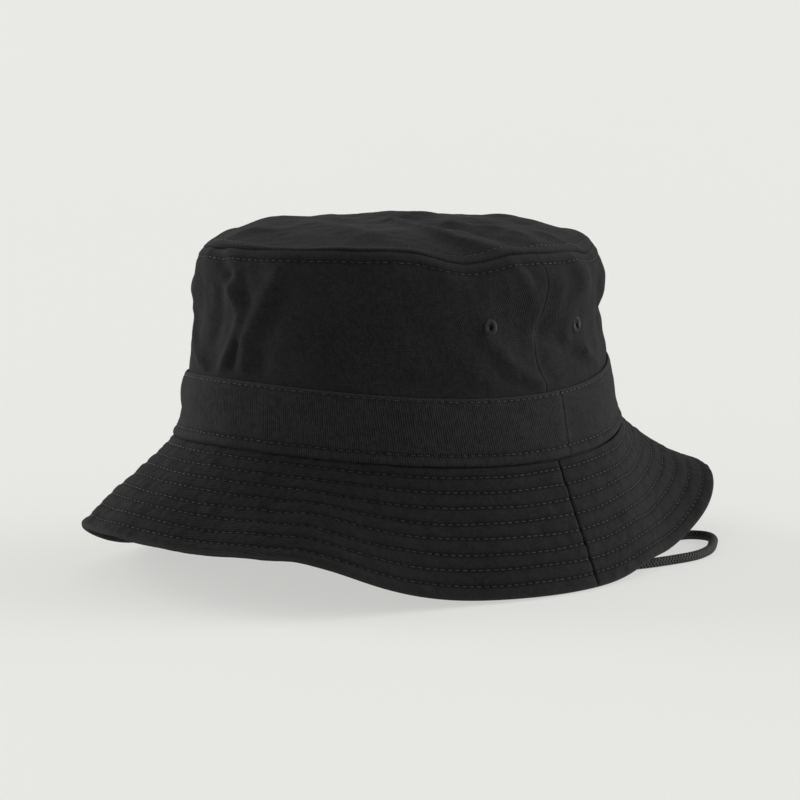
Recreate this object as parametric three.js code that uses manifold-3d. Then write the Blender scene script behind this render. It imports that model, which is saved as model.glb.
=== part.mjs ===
// Cotton bucket hat with a stitched brim, a sewn-on band, embroidered eyelets and a chin cord with its lock.
//
// Millimetres, +Z up. The origin is the centre of the head opening, at the mean height of the line where the
// crown meets the brim. +Y points to the wearer's back and +X to the wearer's left. A direction round the head
// is an angle phi: 0 at the wearer's left ear, 90 degrees at the back.
import * as THREE from 'three';
import { mergeVertices } from 'three/addons/utils/BufferGeometryUtils.js';
import Module from 'manifold-3d';

const wasm = await Module();
wasm.setup();

// ---- driving dimensions -------------------------------------------------------------------------------------
const HEAD_HALF_WIDTH = 89; // outside of the band at the head line, left to right
const LENGTH_EXTRA = 13.5; // every half length is this much more than its half width
const BAND_HEIGHT = 27;
const BAND_TOP_HALF_WIDTH = 83.5;
const HEAD_TILT = 1.8; // the back of the head line stands this much higher than its middle
const HEAD_DIP = 4.4; // the head line dips over the ears and rises at the front and back
const TIP_SEAM_HEIGHT = 80;
const TIP_TILT = -2.5; // the back of the tip seam stands this much lower than its middle
const TIP_RISE = 7; // pillow of the tip above its seam
const TIP_ROUNDING = 3.5; // power of the tip's profile: flat in the middle, round at the seam

const BRIM_WIDTH = 53.5;
const SIDE_DROOP = 66; // degrees below level over the ears
const END_DROOP = 35.5; // at the front and back, where the brim is turned up
const END_DROOP_TILT = 2.8; // the front droops this much more than that, the back this much less
const DROOP_START = 0.42; // cosine of phi where the brim starts to turn down
const DROOP_FULL = 0.9; // cosine of phi where it hangs fully

const CLOTH = 1.0; // crown wall, tip, band and sweatband
const BRIM_CLOTH = 0.8;
const INTERLINING = 0.4;
const TAPE = 0.7;
const GAP = 0.3; // clearance between pieces that touch
const WALL_GAP = 0.4; // clearance between the crown wall and the strips that lie along it

const SWEATBAND_TOP = 30;
const SWEATBAND_BOTTOM = -3; // hides the sewn edges at the head line
const TAPE_WIDTH = 12;
const EYELET_PHI = 17; // degrees either side of each side seam
const EYELET_HEIGHT = { front: 53, back: 49.5 };
const EYELET_RADIUS = 3.75;
const EYELET_HOLE = 0.9;
const CORD_DIAMETER = 4;
const CORD_LIFT = 2.7; // the brim's edge rides up this much where the cord passes under it
const CORD_LIFT_PHI = 21; // degrees
const CORD_LIFT_SPREAD = 10; // degrees
const STRAND_SPACING = 4.8; // between the two strands that run through the lock
const LOCK_REST_Y = 44;
const LOCK_CORD_HEIGHT = 5.3; // middle of the strands in the lock, above the table

const AROUND = 60; // steps round the head
const WALL_ROWS = 10; // steps up the crown wall
const rad = THREE.MathUtils.degToRad;

// ---- materials ----------------------------------------------------------------------------------------------
const cloth = (color, roughness) => new THREE.MeshStandardMaterial({ color, roughness, metalness: 0 });
const TWILL = 0x1d1d20;
const TWILL_DARK = 0x161618;
const LINING = 0x202022;
const THREAD = 0x2b2b2e;

// ---- solids between two skins -------------------------------------------------------------------------------
function finish(position, index) {
  const raw = new THREE.BufferGeometry();
  raw.setAttribute('position', new THREE.Float32BufferAttribute(position, 3));
  raw.setIndex(index);
  const merged = mergeVertices(raw, 1e-4);
  const corners = merged.index.array;
  const faces = [];
  for (let i = 0; i < corners.length; i += 3) {
    const [a, b, c] = corners.subarray(i, i + 3);
    if (a !== b && b !== c && c !== a) faces.push([a, b, c]);
  }
  const place = merged.attributes.position;
  const at = (i) => new THREE.Vector3().fromBufferAttribute(place, i);
  const volume = faces.reduce((sum, [a, b, c]) => sum + at(a).dot(at(b).cross(at(c))), 0);
  merged.setIndex((volume < 0 ? faces.map(([a, b, c]) => [a, c, b]) : faces).flat());
  return merged;
}

// outer and inner take (u, v) from 0 to 1. A wrapped solid closes on itself along u.
function between(outer, inner, uSteps, vSteps, wrapped = false) {
  const columns = wrapped ? uSteps : uSteps + 1;
  const rows = vSteps + 1;
  const position = [];
  for (const skin of [outer, inner]) {
    for (let i = 0; i < columns; i += 1) {
      for (let j = 0; j < rows; j += 1) position.push(...skin(i / uSteps, j / vSteps).toArray());
    }
  }
  const id = (side, i, j) => (side * columns + (i % columns)) * rows + j;
  const index = [];
  const quad = (a, b, c, d) => index.push(a, b, c, a, c, d);
  for (let i = 0; i < uSteps; i += 1) {
    for (let j = 0; j < vSteps; j += 1) {
      quad(id(0, i, j), id(0, i + 1, j), id(0, i + 1, j + 1), id(0, i, j + 1));
      quad(id(1, i, j), id(1, i, j + 1), id(1, i + 1, j + 1), id(1, i + 1, j));
    }
    quad(id(0, i, 0), id(1, i, 0), id(1, i + 1, 0), id(0, i + 1, 0));
    quad(id(0, i, vSteps), id(0, i + 1, vSteps), id(1, i + 1, vSteps), id(1, i, vSteps));
  }
  for (let j = 0; j < vSteps && !wrapped; j += 1) {
    quad(id(0, 0, j), id(0, 0, j + 1), id(1, 0, j + 1), id(1, 0, j));
    quad(id(0, uSteps, j), id(1, uSteps, j), id(1, uSteps, j + 1), id(0, uSteps, j + 1));
  }
  return finish(position, index);
}

function toManifold(geometry) {
  const bare = geometry.clone();
  bare.deleteAttribute('normal');
  bare.deleteAttribute('uv');
  const merged = mergeVertices(bare, 1e-4);
  const vertProperties = new Float32Array(merged.attributes.position.array);
  const triVerts = new Uint32Array(merged.index.array);
  return new wasm.Manifold(new wasm.Mesh({ numProp: 3, vertProperties, triVerts }));
}

function fromManifold(solid) {
  const mesh = solid.getMesh();
  return finish(Array.from(mesh.vertProperties), Array.from(mesh.triVerts));
}

function cut(geometry, ...tools) {
  return fromManifold(tools.reduce((solid, tool) => solid.subtract(toManifold(tool)), toManifold(geometry)));
}

// ---- the shape of the crown ---------------------------------------------------------------------------------
const headWave = (phi) => HEAD_TILT * Math.sin(phi) - HEAD_DIP * Math.cos(2 * phi);

// Half width and height of the crown wall's outside, from the head line up to the tip seam: it leans in under
// the band, has a slack waist, bulges and rounds over into the seam.
const WALL_OFFSET = CLOTH + WALL_GAP; // the wall lies this far inside the band
const WALL_PROFILE = new THREE.SplineCurve([
  new THREE.Vector2(HEAD_HALF_WIDTH - WALL_OFFSET, 0),
  new THREE.Vector2((HEAD_HALF_WIDTH + BAND_TOP_HALF_WIDTH) / 2 - WALL_OFFSET, BAND_HEIGHT / 2),
  new THREE.Vector2(BAND_TOP_HALF_WIDTH - WALL_OFFSET, BAND_HEIGHT),
  new THREE.Vector2(80, 42),
  new THREE.Vector2(78.7, 50),
  new THREE.Vector2(79.1, 58),
  new THREE.Vector2(79.7, 66),
  new THREE.Vector2(79.2, 72.3),
  new THREE.Vector2(77.6, 76.6),
  new THREE.Vector2(75.2, TIP_SEAM_HEIGHT),
]);

function crownPoint(phi, halfWidth, height) {
  const share = THREE.MathUtils.clamp((height - BAND_HEIGHT) / (TIP_SEAM_HEIGHT - BAND_HEIGHT), 0, 1);
  return new THREE.Vector3(
    halfWidth * Math.cos(phi),
    (halfWidth + LENGTH_EXTRA) * Math.sin(phi),
    height + THREE.MathUtils.lerp(headWave(phi), TIP_TILT * Math.sin(phi), share),
  );
}

// t runs up the wall from 0 to 1; depth is measured inwards from the wall's outside.
function wallPoint(phi, t, depth) {
  const point = WALL_PROFILE.getPoint(t);
  const tangent = WALL_PROFILE.getTangent(t);
  return crownPoint(phi, point.x - depth * tangent.y, point.y + depth * tangent.x);
}

// A strip along the band's straight slope, depth inwards from the band's outside.
function bandPoint(phi, height, depth) {
  const lean = (BAND_TOP_HALF_WIDTH - HEAD_HALF_WIDTH) / BAND_HEIGHT;
  return crownPoint(phi, HEAD_HALF_WIDTH + lean * height - depth, height);
}

const BACK = [0, Math.PI];
const FRONT = [Math.PI, 2 * Math.PI];
const FULL_TURN = [0, 2 * Math.PI];

// Angle at a share u of a span whose two ends stand half a gap back from the seam.
function seamAngle([start, end], u, radius) {
  const trim = GAP / 2 / radius;
  return THREE.MathUtils.lerp(start + trim, end - trim, u);
}

function crownWall(span) {
  const skin = (depth) => (u, v) => wallPoint(seamAngle(span, u, HEAD_HALF_WIDTH), v, depth);
  return between(skin(0), skin(CLOTH), AROUND / 2, WALL_ROWS);
}

function eyeletTurn(phi) {
  const outward = new THREE.Vector3(
    (BAND_TOP_HALF_WIDTH + LENGTH_EXTRA) * Math.cos(phi),
    BAND_TOP_HALF_WIDTH * Math.sin(phi),
    0,
  );
  return new THREE.Quaternion().setFromUnitVectors(new THREE.Vector3(0, 1, 0), outward.normalize());
}

const eyeletPlace = ({ phi, height }) => wallPoint(phi, shareAt(height), CLOTH / 2);

// Share of the way up the wall's profile that stands at a given height.
function shareAt(height) {
  let low = 0;
  let high = 1;
  for (let i = 0; i < 30; i += 1) {
    const middle = (low + high) / 2;
    if (WALL_PROFILE.getPoint(middle).y < height) low = middle;
    else high = middle;
  }
  return low;
}

// A buttonhole-stitched ring: a lip of thread on each face of the wall, joined through the cloth.
const EYELET_BARREL = 1.9;
const EYELET_LIP = 0.7;
const EYELET_SIDES = 14;
const EYELET_CLEARANCE = 0.45;

function eyeletRing() {
  const half = CLOTH / 2 + EYELET_CLEARANCE;
  const top = half + EYELET_LIP;
  const outline = [
    [EYELET_HOLE, -top], [EYELET_RADIUS - 1.4, -top], [EYELET_RADIUS - 0.8, -half], [EYELET_BARREL, -half],
    [EYELET_BARREL, half], [EYELET_RADIUS, half], [EYELET_RADIUS - 0.7, top], [EYELET_HOLE, top],
  ];
  const points = [...outline, outline[0]].map(([x, y]) => new THREE.Vector2(x, y));
  const lathe = new THREE.LatheGeometry(points, EYELET_SIDES);
  lathe.deleteAttribute('normal');
  lathe.deleteAttribute('uv');
  return finish(Array.from(lathe.attributes.position.array), Array.from(lathe.index.array));
}

function eyeletHole(eyelet) {
  const tool = new THREE.CylinderGeometry(EYELET_BARREL + GAP, EYELET_BARREL + GAP, 8 * CLOTH, EYELET_SIDES);
  tool.applyQuaternion(eyeletTurn(eyelet.phi));
  tool.translate(...eyeletPlace(eyelet).toArray());
  return tool;
}

function crownTip() {
  const edge = WALL_PROFILE.getPoint(1).x - 0.5;
  const lift = 1.2; // keeps the tip's underside clear of the wall's top edge
  const skin = (depth) => (u, v) => {
    const phi = u * 2 * Math.PI;
    const rise = TIP_RISE * (1 - v ** TIP_ROUNDING);
    return new THREE.Vector3(
      edge * v * Math.cos(phi),
      (edge + LENGTH_EXTRA) * v * Math.sin(phi),
      TIP_SEAM_HEIGHT + TIP_TILT * v * Math.sin(phi) + lift + rise - depth,
    );
  };
  return between(skin(0), skin(CLOTH), AROUND, 6, true);
}

function tipSeamTape() {
  const [low, high] = [shareAt(69), shareAt(78)];
  const skin = (depth) => (u, v) => wallPoint(u * 2 * Math.PI, THREE.MathUtils.lerp(low, high, v), depth);
  return between(skin(CLOTH + WALL_GAP), skin(CLOTH + WALL_GAP + TAPE), AROUND, 3, true);
}

function sideSeamTape(middle) {
  const [low, high] = [shareAt(SWEATBAND_TOP + 2), shareAt(67)];
  const halfAngle = TAPE_WIDTH / 2 / (BAND_TOP_HALF_WIDTH + LENGTH_EXTRA);
  const skin = (depth) => (u, v) => {
    const phi = middle + halfAngle * (2 * u - 1);
    return wallPoint(phi, THREE.MathUtils.lerp(low, high, v), depth);
  };
  return between(skin(CLOTH + WALL_GAP), skin(CLOTH + WALL_GAP + TAPE), 2, 6);
}

function hatBand() {
  const skin = (depth) => (u, v) => bandPoint(seamAngle(FULL_TURN, u, HEAD_HALF_WIDTH), v * BAND_HEIGHT, depth);
  return between(skin(0), skin(CLOTH), AROUND, 2);
}

const SWEATBAND_DEPTH = WALL_OFFSET + CLOTH + WALL_GAP;

function sweatband() {
  const height = (v) => THREE.MathUtils.lerp(SWEATBAND_BOTTOM, SWEATBAND_TOP, v);
  const skin = (depth) => (u, v) => bandPoint(u * 2 * Math.PI, height(v), depth);
  return between(skin(SWEATBAND_DEPTH), skin(SWEATBAND_DEPTH + CLOTH), AROUND, 2, true);
}

// A small blank woven label on the inside of the sweatband, at the back.
function backLabel() {
  const halfAngle = 20 / (HEAD_HALF_WIDTH - SWEATBAND_DEPTH);
  const depth = SWEATBAND_DEPTH + CLOTH + GAP;
  const skin = (inwards) => (u, v) => bandPoint(Math.PI / 2 + halfAngle * (2 * u - 1), 6 + 18 * v, inwards);
  return between(skin(depth), skin(depth + 0.5), 8, 1);
}

// ---- the shape of the brim ----------------------------------------------------------------------------------
const BRIM_START = 88; // half width of the brim's inner edge
const BRIM_BELOW = 1.8; // the brim's inner edge hangs this far below the band

function droop(phi) {
  const ends = END_DROOP - END_DROOP_TILT * Math.sin(phi);
  const side = THREE.MathUtils.smoothstep(Math.abs(Math.cos(phi)), DROOP_START, DROOP_FULL);
  return rad(THREE.MathUtils.lerp(ends, SIDE_DROOP, side));
}

// s is the distance out from the head line; above is measured along the brim's upward normal.
function brimPoint(phi, s, above) {
  const halfLength = BRIM_START + LENGTH_EXTRA;
  const outward = new THREE.Vector3(halfLength * Math.cos(phi), BRIM_START * Math.sin(phi), 0).normalize();
  const angle = droop(phi);
  const point = new THREE.Vector3(BRIM_START * Math.cos(phi), halfLength * Math.sin(phi), headWave(phi) - BRIM_BELOW);
  point.addScaledVector(outward, s * Math.cos(angle) + above * Math.sin(angle));
  const lift = CORD_LIFT * Math.exp(-(((phi - rad(CORD_LIFT_PHI)) / rad(CORD_LIFT_SPREAD)) ** 2));
  point.z += above * Math.cos(angle) - s * Math.sin(angle) + (lift * s) / BRIM_WIDTH;
  return point;
}

const CORE = INTERLINING / 2;
const INTERLINING_INSET = 4;
const BRIM_ROWS = [0, INTERLINING_INSET, 19, 34, BRIM_WIDTH - INTERLINING_INSET, BRIM_WIDTH];

// The layers share their rows, so that their facets lie parallel where the brim twists.
function brimLayer(span, low, high, rows) {
  const last = rows.length - 1;
  const skin = (above) => (u, v) => brimPoint(seamAngle(span, u, BRIM_START), rows[Math.round(v * last)], above);
  return between(skin(high), skin(low), AROUND / 2, last);
}

const brimTop = (span) => brimLayer(span, CORE + GAP, CORE + GAP + BRIM_CLOTH, BRIM_ROWS);
const brimLining = (span) => brimLayer(span, -CORE - GAP - BRIM_CLOTH, -CORE - GAP, BRIM_ROWS);
const brimInterlining = (span) => brimLayer(span, -CORE, CORE, BRIM_ROWS.slice(1, -1));

// The table stands at the lowest point of the brim.
const TABLE = Math.min(...Array.from({ length: 361 }, (_, i) => (
  brimPoint(rad(i), BRIM_WIDTH, -CORE - GAP - BRIM_CLOTH).z
)));

// ---- chin cord ----------------------------------------------------------------------------------------------
const TAB_BOTTOM = -12;
const TAB_SIZE = new THREE.Vector3(5, 10, 16);
const TAB_TOP = TAB_BOTTOM + TAB_SIZE.z;
const TAB_X = bandPoint(0, TAB_TOP - headWave(0), SWEATBAND_DEPTH + CLOTH).x - GAP - TAB_SIZE.x / 2;
const ON_TABLE = TABLE + CORD_DIAMETER / 2 + 0.05;
const IN_LOCK = TABLE + LOCK_CORD_HEIGHT;
const CORD_TOP = TAB_BOTTOM - GAP;

// From the tab at the left ear down to the table, out under the brim's edge in one slack bow and in again at the
// back, through the lock, round the end loop, back through the lock and up to the tab at the right ear.
const CORD_ROUTE = [
  [TAB_X, 0, CORD_TOP], [TAB_X, 0, -28], [TAB_X, 2.5, -43], [83, 13, -52.8], [88.5, 25, ON_TABLE],
  [94, 37, ON_TABLE], [97.8, 49, ON_TABLE], [100.2, 62, ON_TABLE], [101.2, 76, ON_TABLE], [97.6, 89.5, ON_TABLE],
  [90, 102, ON_TABLE], [82, 112, ON_TABLE], [75.7, 115.2, ON_TABLE], [69.4, 112.6, ON_TABLE], [67, 106, ON_TABLE],
  [67.6, 96, ON_TABLE], [63, 87, ON_TABLE], [53.5, 83.5, ON_TABLE], [42, 88, ON_TABLE], [31, 97, ON_TABLE],
  [21.5, 107, ON_TABLE], [12, 113.6, ON_TABLE], [4.2, 112, ON_TABLE + 1.2], [0.4, 103.5, IN_LOCK - 0.6],
  [0, 92, IN_LOCK], [0, 36, IN_LOCK],
  [0.6, 24, IN_LOCK - 0.8], [4.6, 10, ON_TABLE + 0.3], [7.6, -4, ON_TABLE], [4.7, -11, ON_TABLE],
  [-2.4, -14, ON_TABLE], [-9.5, -11, ON_TABLE], [-12.4, -4, ON_TABLE], [-9.4, 10, ON_TABLE + 0.3],
  [-5.4, 24, IN_LOCK - 0.8], [-4.8, 36, IN_LOCK], [-4.8, 92, IN_LOCK], [-5.2, 104, IN_LOCK - 0.5],
  [-12, 122, ON_TABLE], [-28, 134, ON_TABLE], [-49, 127, ON_TABLE], [-65, 99, ON_TABLE], [-76, 62, ON_TABLE],
  [-83, 26, ON_TABLE], [-82, 11, -51.5], [-TAB_X, 1, -38], [-TAB_X, 0, CORD_TOP],
].map((point) => new THREE.Vector3(...point));

const CORD_CURVE = new THREE.CatmullRomCurve3(CORD_ROUTE, false, 'centripetal');
const CORD_STEPS = 80;
const CORD_SIDES = 8;

function circle(radius, sides) {
  const corners = Array.from({ length: sides }, (_, i) => {
    const angle = (2 * Math.PI * i) / sides;
    return new THREE.Vector2(radius * Math.cos(angle), radius * Math.sin(angle));
  });
  return new THREE.Shape(corners);
}

function tube(curve, radius, sides, steps) {
  return new THREE.ExtrudeGeometry(circle(radius, sides), { steps, bevelEnabled: false, extrudePath: curve });
}

const chinCord = () => tube(CORD_CURVE, CORD_DIAMETER / 2, CORD_SIDES, CORD_STEPS);

function cordTab(side) {
  const tab = new THREE.BoxGeometry(TAB_SIZE.x, TAB_SIZE.y, TAB_SIZE.z);
  tab.translate(side * TAB_X, 0, TAB_BOTTOM + TAB_SIZE.z / 2);
  return tab;
}

// ---- cord lock ----------------------------------------------------------------------------------------------
// Worked out about the middle of the two strands: x along the button's travel, y along the cord.
const LOCK = new THREE.Vector3(-STRAND_SPACING / 2, LOCK_REST_Y, IN_LOCK);
const PRESS_TRAVEL = 3;
const STRANDS_HALF = STRAND_SPACING / 2 + CORD_DIAMETER / 2 + GAP; // half width that both strands need
const BODY = { left: -12, right: 9, depth: 12, height: 10, corner: 3 };
const CAVITY = { left: -10.8, depth: 8.6, height: 7.6, corner: 1.6 };
const PLUNGER = { left: -STRANDS_HALF - 1.6, depth: 8, height: 7, corner: 1.4 };
const SLOT_HEIGHT = CORD_DIAMETER + 2 * GAP;
const HEAD = { left: BODY.right + PRESS_TRAVEL + 0.6, right: 15, depth: 10, height: 8.4, corner: 2.6 };

// A bar along x from left to right with a rounded rectangle for its section.
function bar({ left, right, depth, height, corner }) {
  const [w, h, r] = [depth / 2, height / 2, corner];
  const shape = new THREE.Shape();
  shape.absarc(w - r, h - r, r, 0, Math.PI / 2);
  shape.absarc(r - w, h - r, r, Math.PI / 2, Math.PI);
  shape.absarc(r - w, r - h, r, Math.PI, 1.5 * Math.PI);
  shape.absarc(w - r, r - h, r, 1.5 * Math.PI, 2 * Math.PI);
  const solid = new THREE.ExtrudeGeometry(shape, { depth: right - left, bevelEnabled: false, curveSegments: 4 });
  solid.rotateX(Math.PI / 2);
  solid.rotateZ(Math.PI / 2);
  solid.translate(left, 0, 0);
  return solid;
}

function cordSlot(left, right) {
  const slot = new THREE.BoxGeometry(right - left, 2 * BODY.depth, SLOT_HEIGHT);
  slot.translate((left + right) / 2, 0, 0);
  return slot;
}

function lockBody() {
  const cavity = bar({ ...CAVITY, right: BODY.right + 1 });
  return cut(bar(BODY), cavity, cordSlot(-STRANDS_HALF, STRANDS_HALF));
}

function lockPlunger() {
  const stem = toManifold(bar({ ...PLUNGER, right: HEAD.left + 0.5 }));
  const joined = fromManifold(stem.add(toManifold(bar(HEAD))));
  return cut(joined, cordSlot(-STRANDS_HALF, STRANDS_HALF + PRESS_TRAVEL));
}

const SPRING_RADIUS = 2.4;
const SPRING_WIRE = 0.25;
const SPRING_TURNS = 2.5;

class SpringCurve extends THREE.Curve {
  getPoint(t, target = new THREE.Vector3()) {
    const [start, end] = [CAVITY.left + GAP + SPRING_WIRE, PLUNGER.left - GAP - SPRING_WIRE];
    const angle = 2 * Math.PI * SPRING_TURNS * t;
    return target.set(
      THREE.MathUtils.lerp(start, end, t),
      SPRING_RADIUS * Math.cos(angle),
      SPRING_RADIUS * Math.sin(angle),
    );
  }
}

const lockSpring = () => tube(new SpringCurve(), SPRING_WIRE, 6, 36);

// ---- the assembly -------------------------------------------------------------------------------------------
const hat = new THREE.Group();

function add(name, geometry, material, parent = hat) {
  const mesh = new THREE.Mesh(geometry, material);
  mesh.name = name;
  parent.add(mesh);
  return mesh;
}

const sides = { left: 0, right: Math.PI };
const towardsBack = rad(EYELET_PHI);
const eyelet = (side, end, phi) => ({ name: `eyelet_${side}_${end}`, end, phi, height: EYELET_HEIGHT[end] });
const eyelets = [
  eyelet('left', 'front', sides.left - towardsBack),
  eyelet('left', 'back', sides.left + towardsBack),
  eyelet('right', 'front', sides.right + towardsBack),
  eyelet('right', 'back', sides.right - towardsBack),
];
const holesAt = (end) => eyelets.filter((each) => each.end === end).map(eyeletHole);

add('crown_tip', crownTip(), cloth(TWILL, 0.9));
add('crown_wall_front', cut(crownWall(FRONT), ...holesAt('front')), cloth(TWILL, 0.9));
add('crown_wall_back', cut(crownWall(BACK), ...holesAt('back')), cloth(TWILL, 0.9));
add('tip_seam_tape', tipSeamTape(), cloth(TWILL_DARK, 0.85));
add('side_seam_tape_left', sideSeamTape(sides.left), cloth(TWILL_DARK, 0.85));
add('side_seam_tape_right', sideSeamTape(sides.right), cloth(TWILL_DARK, 0.85));
add('hat_band', hatBand(), cloth(TWILL, 0.88));
add('sweatband', sweatband(), cloth(LINING, 0.8));
add('back_label', backLabel(), cloth(TWILL_DARK, 0.7));
for (const [end, span] of [['front', FRONT], ['back', BACK]]) {
  add(`brim_top_${end}`, brimTop(span), cloth(TWILL, 0.9));
  add(`brim_interlining_${end}`, brimInterlining(span), cloth(LINING, 0.95));
  add(`brim_lining_${end}`, brimLining(span), cloth(TWILL, 0.9));
}
for (const each of eyelets) {
  const ring = add(each.name, eyeletRing(), cloth(THREAD, 0.75));
  ring.quaternion.copy(eyeletTurn(each.phi));
  ring.position.copy(eyeletPlace(each));
}

add('cord_tab_left', cordTab(1), cloth(TWILL_DARK, 0.85));
add('cord_tab_right', cordTab(-1), cloth(TWILL_DARK, 0.85));
add('chin_cord', chinCord(), cloth(THREAD, 0.7));

const lock = new THREE.Group();
lock.position.copy(LOCK);
hat.add(lock);
add('cord_lock_body', lockBody(), cloth(0x141416, 0.45), lock);
add('cord_lock_plunger', lockPlunger(), cloth(0x18181a, 0.4), lock);
const springMetal = new THREE.MeshStandardMaterial({ color: 0xb8bcc0, roughness: 0.3, metalness: 1 });
add('cord_lock_spring', lockSpring(), springMetal, lock);

export default hat;
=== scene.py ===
# %% [markdown]
# # A black cotton bucket hat, piece by piece
# A bucket hat is a small set of flat cloth pieces: an oval tip, a wall in two panels, a band over the head
# line and a brim of two layers with a stiffener between them. Rows of stitching hold the brim flat. This
# lesson builds each piece as a surface worked out with numpy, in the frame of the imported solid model, so
# that nothing has to be fitted by eye. Lengths below are in millimetres until they are put into a mesh, in
# metres.

# %% The frame
import math

import bpy
import numpy as np
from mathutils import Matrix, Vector


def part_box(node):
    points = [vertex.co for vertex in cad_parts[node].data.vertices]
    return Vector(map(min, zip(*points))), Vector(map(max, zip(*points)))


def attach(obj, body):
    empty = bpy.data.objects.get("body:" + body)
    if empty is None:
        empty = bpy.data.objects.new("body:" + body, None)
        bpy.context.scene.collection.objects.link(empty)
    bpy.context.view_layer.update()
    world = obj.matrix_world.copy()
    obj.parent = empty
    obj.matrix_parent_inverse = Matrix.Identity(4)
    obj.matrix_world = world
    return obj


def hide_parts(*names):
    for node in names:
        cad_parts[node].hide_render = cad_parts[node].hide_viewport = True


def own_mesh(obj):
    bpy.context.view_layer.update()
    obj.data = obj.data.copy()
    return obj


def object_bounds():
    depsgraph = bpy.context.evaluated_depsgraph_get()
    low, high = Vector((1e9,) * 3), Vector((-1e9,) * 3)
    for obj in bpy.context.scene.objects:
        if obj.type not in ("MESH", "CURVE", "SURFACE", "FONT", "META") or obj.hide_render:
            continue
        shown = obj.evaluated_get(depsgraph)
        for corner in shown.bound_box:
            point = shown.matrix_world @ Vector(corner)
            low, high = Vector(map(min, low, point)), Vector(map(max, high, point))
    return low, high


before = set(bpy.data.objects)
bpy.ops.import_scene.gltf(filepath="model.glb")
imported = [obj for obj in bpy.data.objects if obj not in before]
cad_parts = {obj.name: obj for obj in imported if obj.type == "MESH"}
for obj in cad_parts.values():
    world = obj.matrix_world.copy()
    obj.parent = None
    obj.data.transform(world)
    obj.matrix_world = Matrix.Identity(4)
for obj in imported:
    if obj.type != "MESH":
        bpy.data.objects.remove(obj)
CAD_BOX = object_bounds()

MM = 0.001
FLOOR = CAD_BOX[0][2] / MM
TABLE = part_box("brim_lining_front")[0][2] / MM

# %% [markdown]
# ## The camera
# The hat is seen from its front left, from a little above the brim, through a long lens, which keeps its
# oval outlines calm. A camera could be aimed with a constraint, but a fixed place and turn are easier to
# read back. Azimuth is measured round the hat from straight in front, and elevation from level.

# %% Camera
AZIMUTH = math.radians(42.63)
ELEVATION = math.radians(8.33)
SIDEWAYS = np.array([math.cos(AZIMUTH), math.sin(AZIMUTH), 0.0])
BACKWARDS = np.array([
    math.sin(AZIMUTH) * math.cos(ELEVATION),
    -math.cos(AZIMUTH) * math.cos(ELEVATION),
    math.sin(ELEVATION),
])
aim = SIDEWAYS * 0.0003 + np.array([0, 0, 0.0112])
camera = bpy.data.objects.new("camera", bpy.data.cameras.new("camera"))
camera.location = Vector(aim + BACKWARDS * 1.5715)
camera.rotation_euler = Vector(-BACKWARDS).to_track_quat("-Z", "Y").to_euler()
camera.data.lens = 166.2
camera.data.sensor_width = 36
camera.data.clip_end = 60
bpy.context.collection.objects.link(camera)
bpy.context.scene.camera = camera
print("camera", [round(x, 3) for x in camera.location])

# %% [markdown]
# ## Small tools for curves and waves
# Cloth never lies as a perfect surface. Random numbers at every point would look like sand, and a noise
# library would be one more thing to load. A few plane waves in random directions, summed, give soft swells
# that can be worked out at any point in space, so neighbouring pieces get the same swell where they touch.

# %% Numbers


def smooth(x, low, high):
    """0 below low, 1 above high, and between them the S curve 3x^2 - 2x^3."""
    share = np.clip((x - low) / (high - low), 0, 1)
    return share * share * (3 - 2 * share)


def bump(x, width):
    """A bell curve: 1 at x = 0, falling to about a third at x = width."""
    return np.exp(-((x / width) ** 2))


def unit(vectors):
    """Each vector divided by its own length."""
    return vectors / np.maximum(np.linalg.norm(vectors, axis=-1, keepdims=True), 1e-12)


def swell(points, wavelength, seed, waves=16):
    """Sum of cosines of the distance along random directions, scaled so that a usual crest is about 1."""
    random = np.random.default_rng(seed)
    direction = unit(random.normal(size=(waves, 3)))
    spacing = wavelength * random.uniform(0.7, 1.5, waves)
    phase = random.uniform(0, 2 * np.pi, waves)
    angle = 2 * np.pi * (points @ (direction / spacing[:, None]).T) + phase
    return np.cos(angle).sum(-1) / np.sqrt(waves)


def spline(points, t):
    """A cubic between each two points, whose slope at a point is half the step between its two neighbours."""
    points = np.asarray(points, float)
    last = len(points) - 1
    place = np.clip(np.asarray(t, float), 0, 1) * last
    i = np.minimum(place.astype(int), last - 1)
    w = (place - i)[..., None]
    before, start, end, after = (points[np.clip(i + k, 0, last)] for k in (-1, 0, 1, 2))
    slope_in, slope_out = (end - before) / 2, (after - start) / 2
    return (
        (2 * w**3 - 3 * w**2 + 1) * start
        + (w**3 - 2 * w**2 + w) * slope_in
        + (3 * w**2 - 2 * w**3) * end
        + (w**3 - w**2) * slope_out
    )


spots = np.random.default_rng(0).normal(size=(999, 3)) * 99
print("swell has a spread of", round(float(swell(spots, 20, 1).std()), 2))

# %% [markdown]
# ## From arrays to closed meshes
# Every cloth piece is two grids of points, its outside and its inside, joined by a narrow strip along each
# edge and round each hole. Solidify could give a sheet its thickness, but then the rolled edges of a brim,
# where the two faces are not parallel, could not be shaped. The mesh also keeps where each corner lay on
# the flat cloth, in millimetres, so that the weave follows the cloth and not the space around it.

# %% Meshes


def inside_out(points, quads):
    """True if the quads enclose a negative volume, summed over the two halves of each quad."""
    a, b, c, d = (points[quads[:, k]] for k in range(4))
    return (np.cross(a, b) * c + np.cross(a, c) * d).sum() < 0


def tube_quads(steps, sides, closed=False):
    """The row and column that each quad between two rings starts from, and its four point numbers."""
    rows = np.arange(steps if closed else steps - 1)
    i, j = (x.ravel() for x in np.meshgrid(rows, np.arange(sides), indexing="ij"))
    k, m = (j + 1) % sides, (i + 1) % steps
    return i, j, np.stack([i * sides + j, i * sides + k, m * sides + k, m * sides + j], -1)


def tube_ends(steps, sides):
    """The two faces that close a tube of rings: its first ring turned over, and its last."""
    return np.stack([np.arange(sides)[::-1], (steps - 1) * sides + np.arange(sides)])


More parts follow.
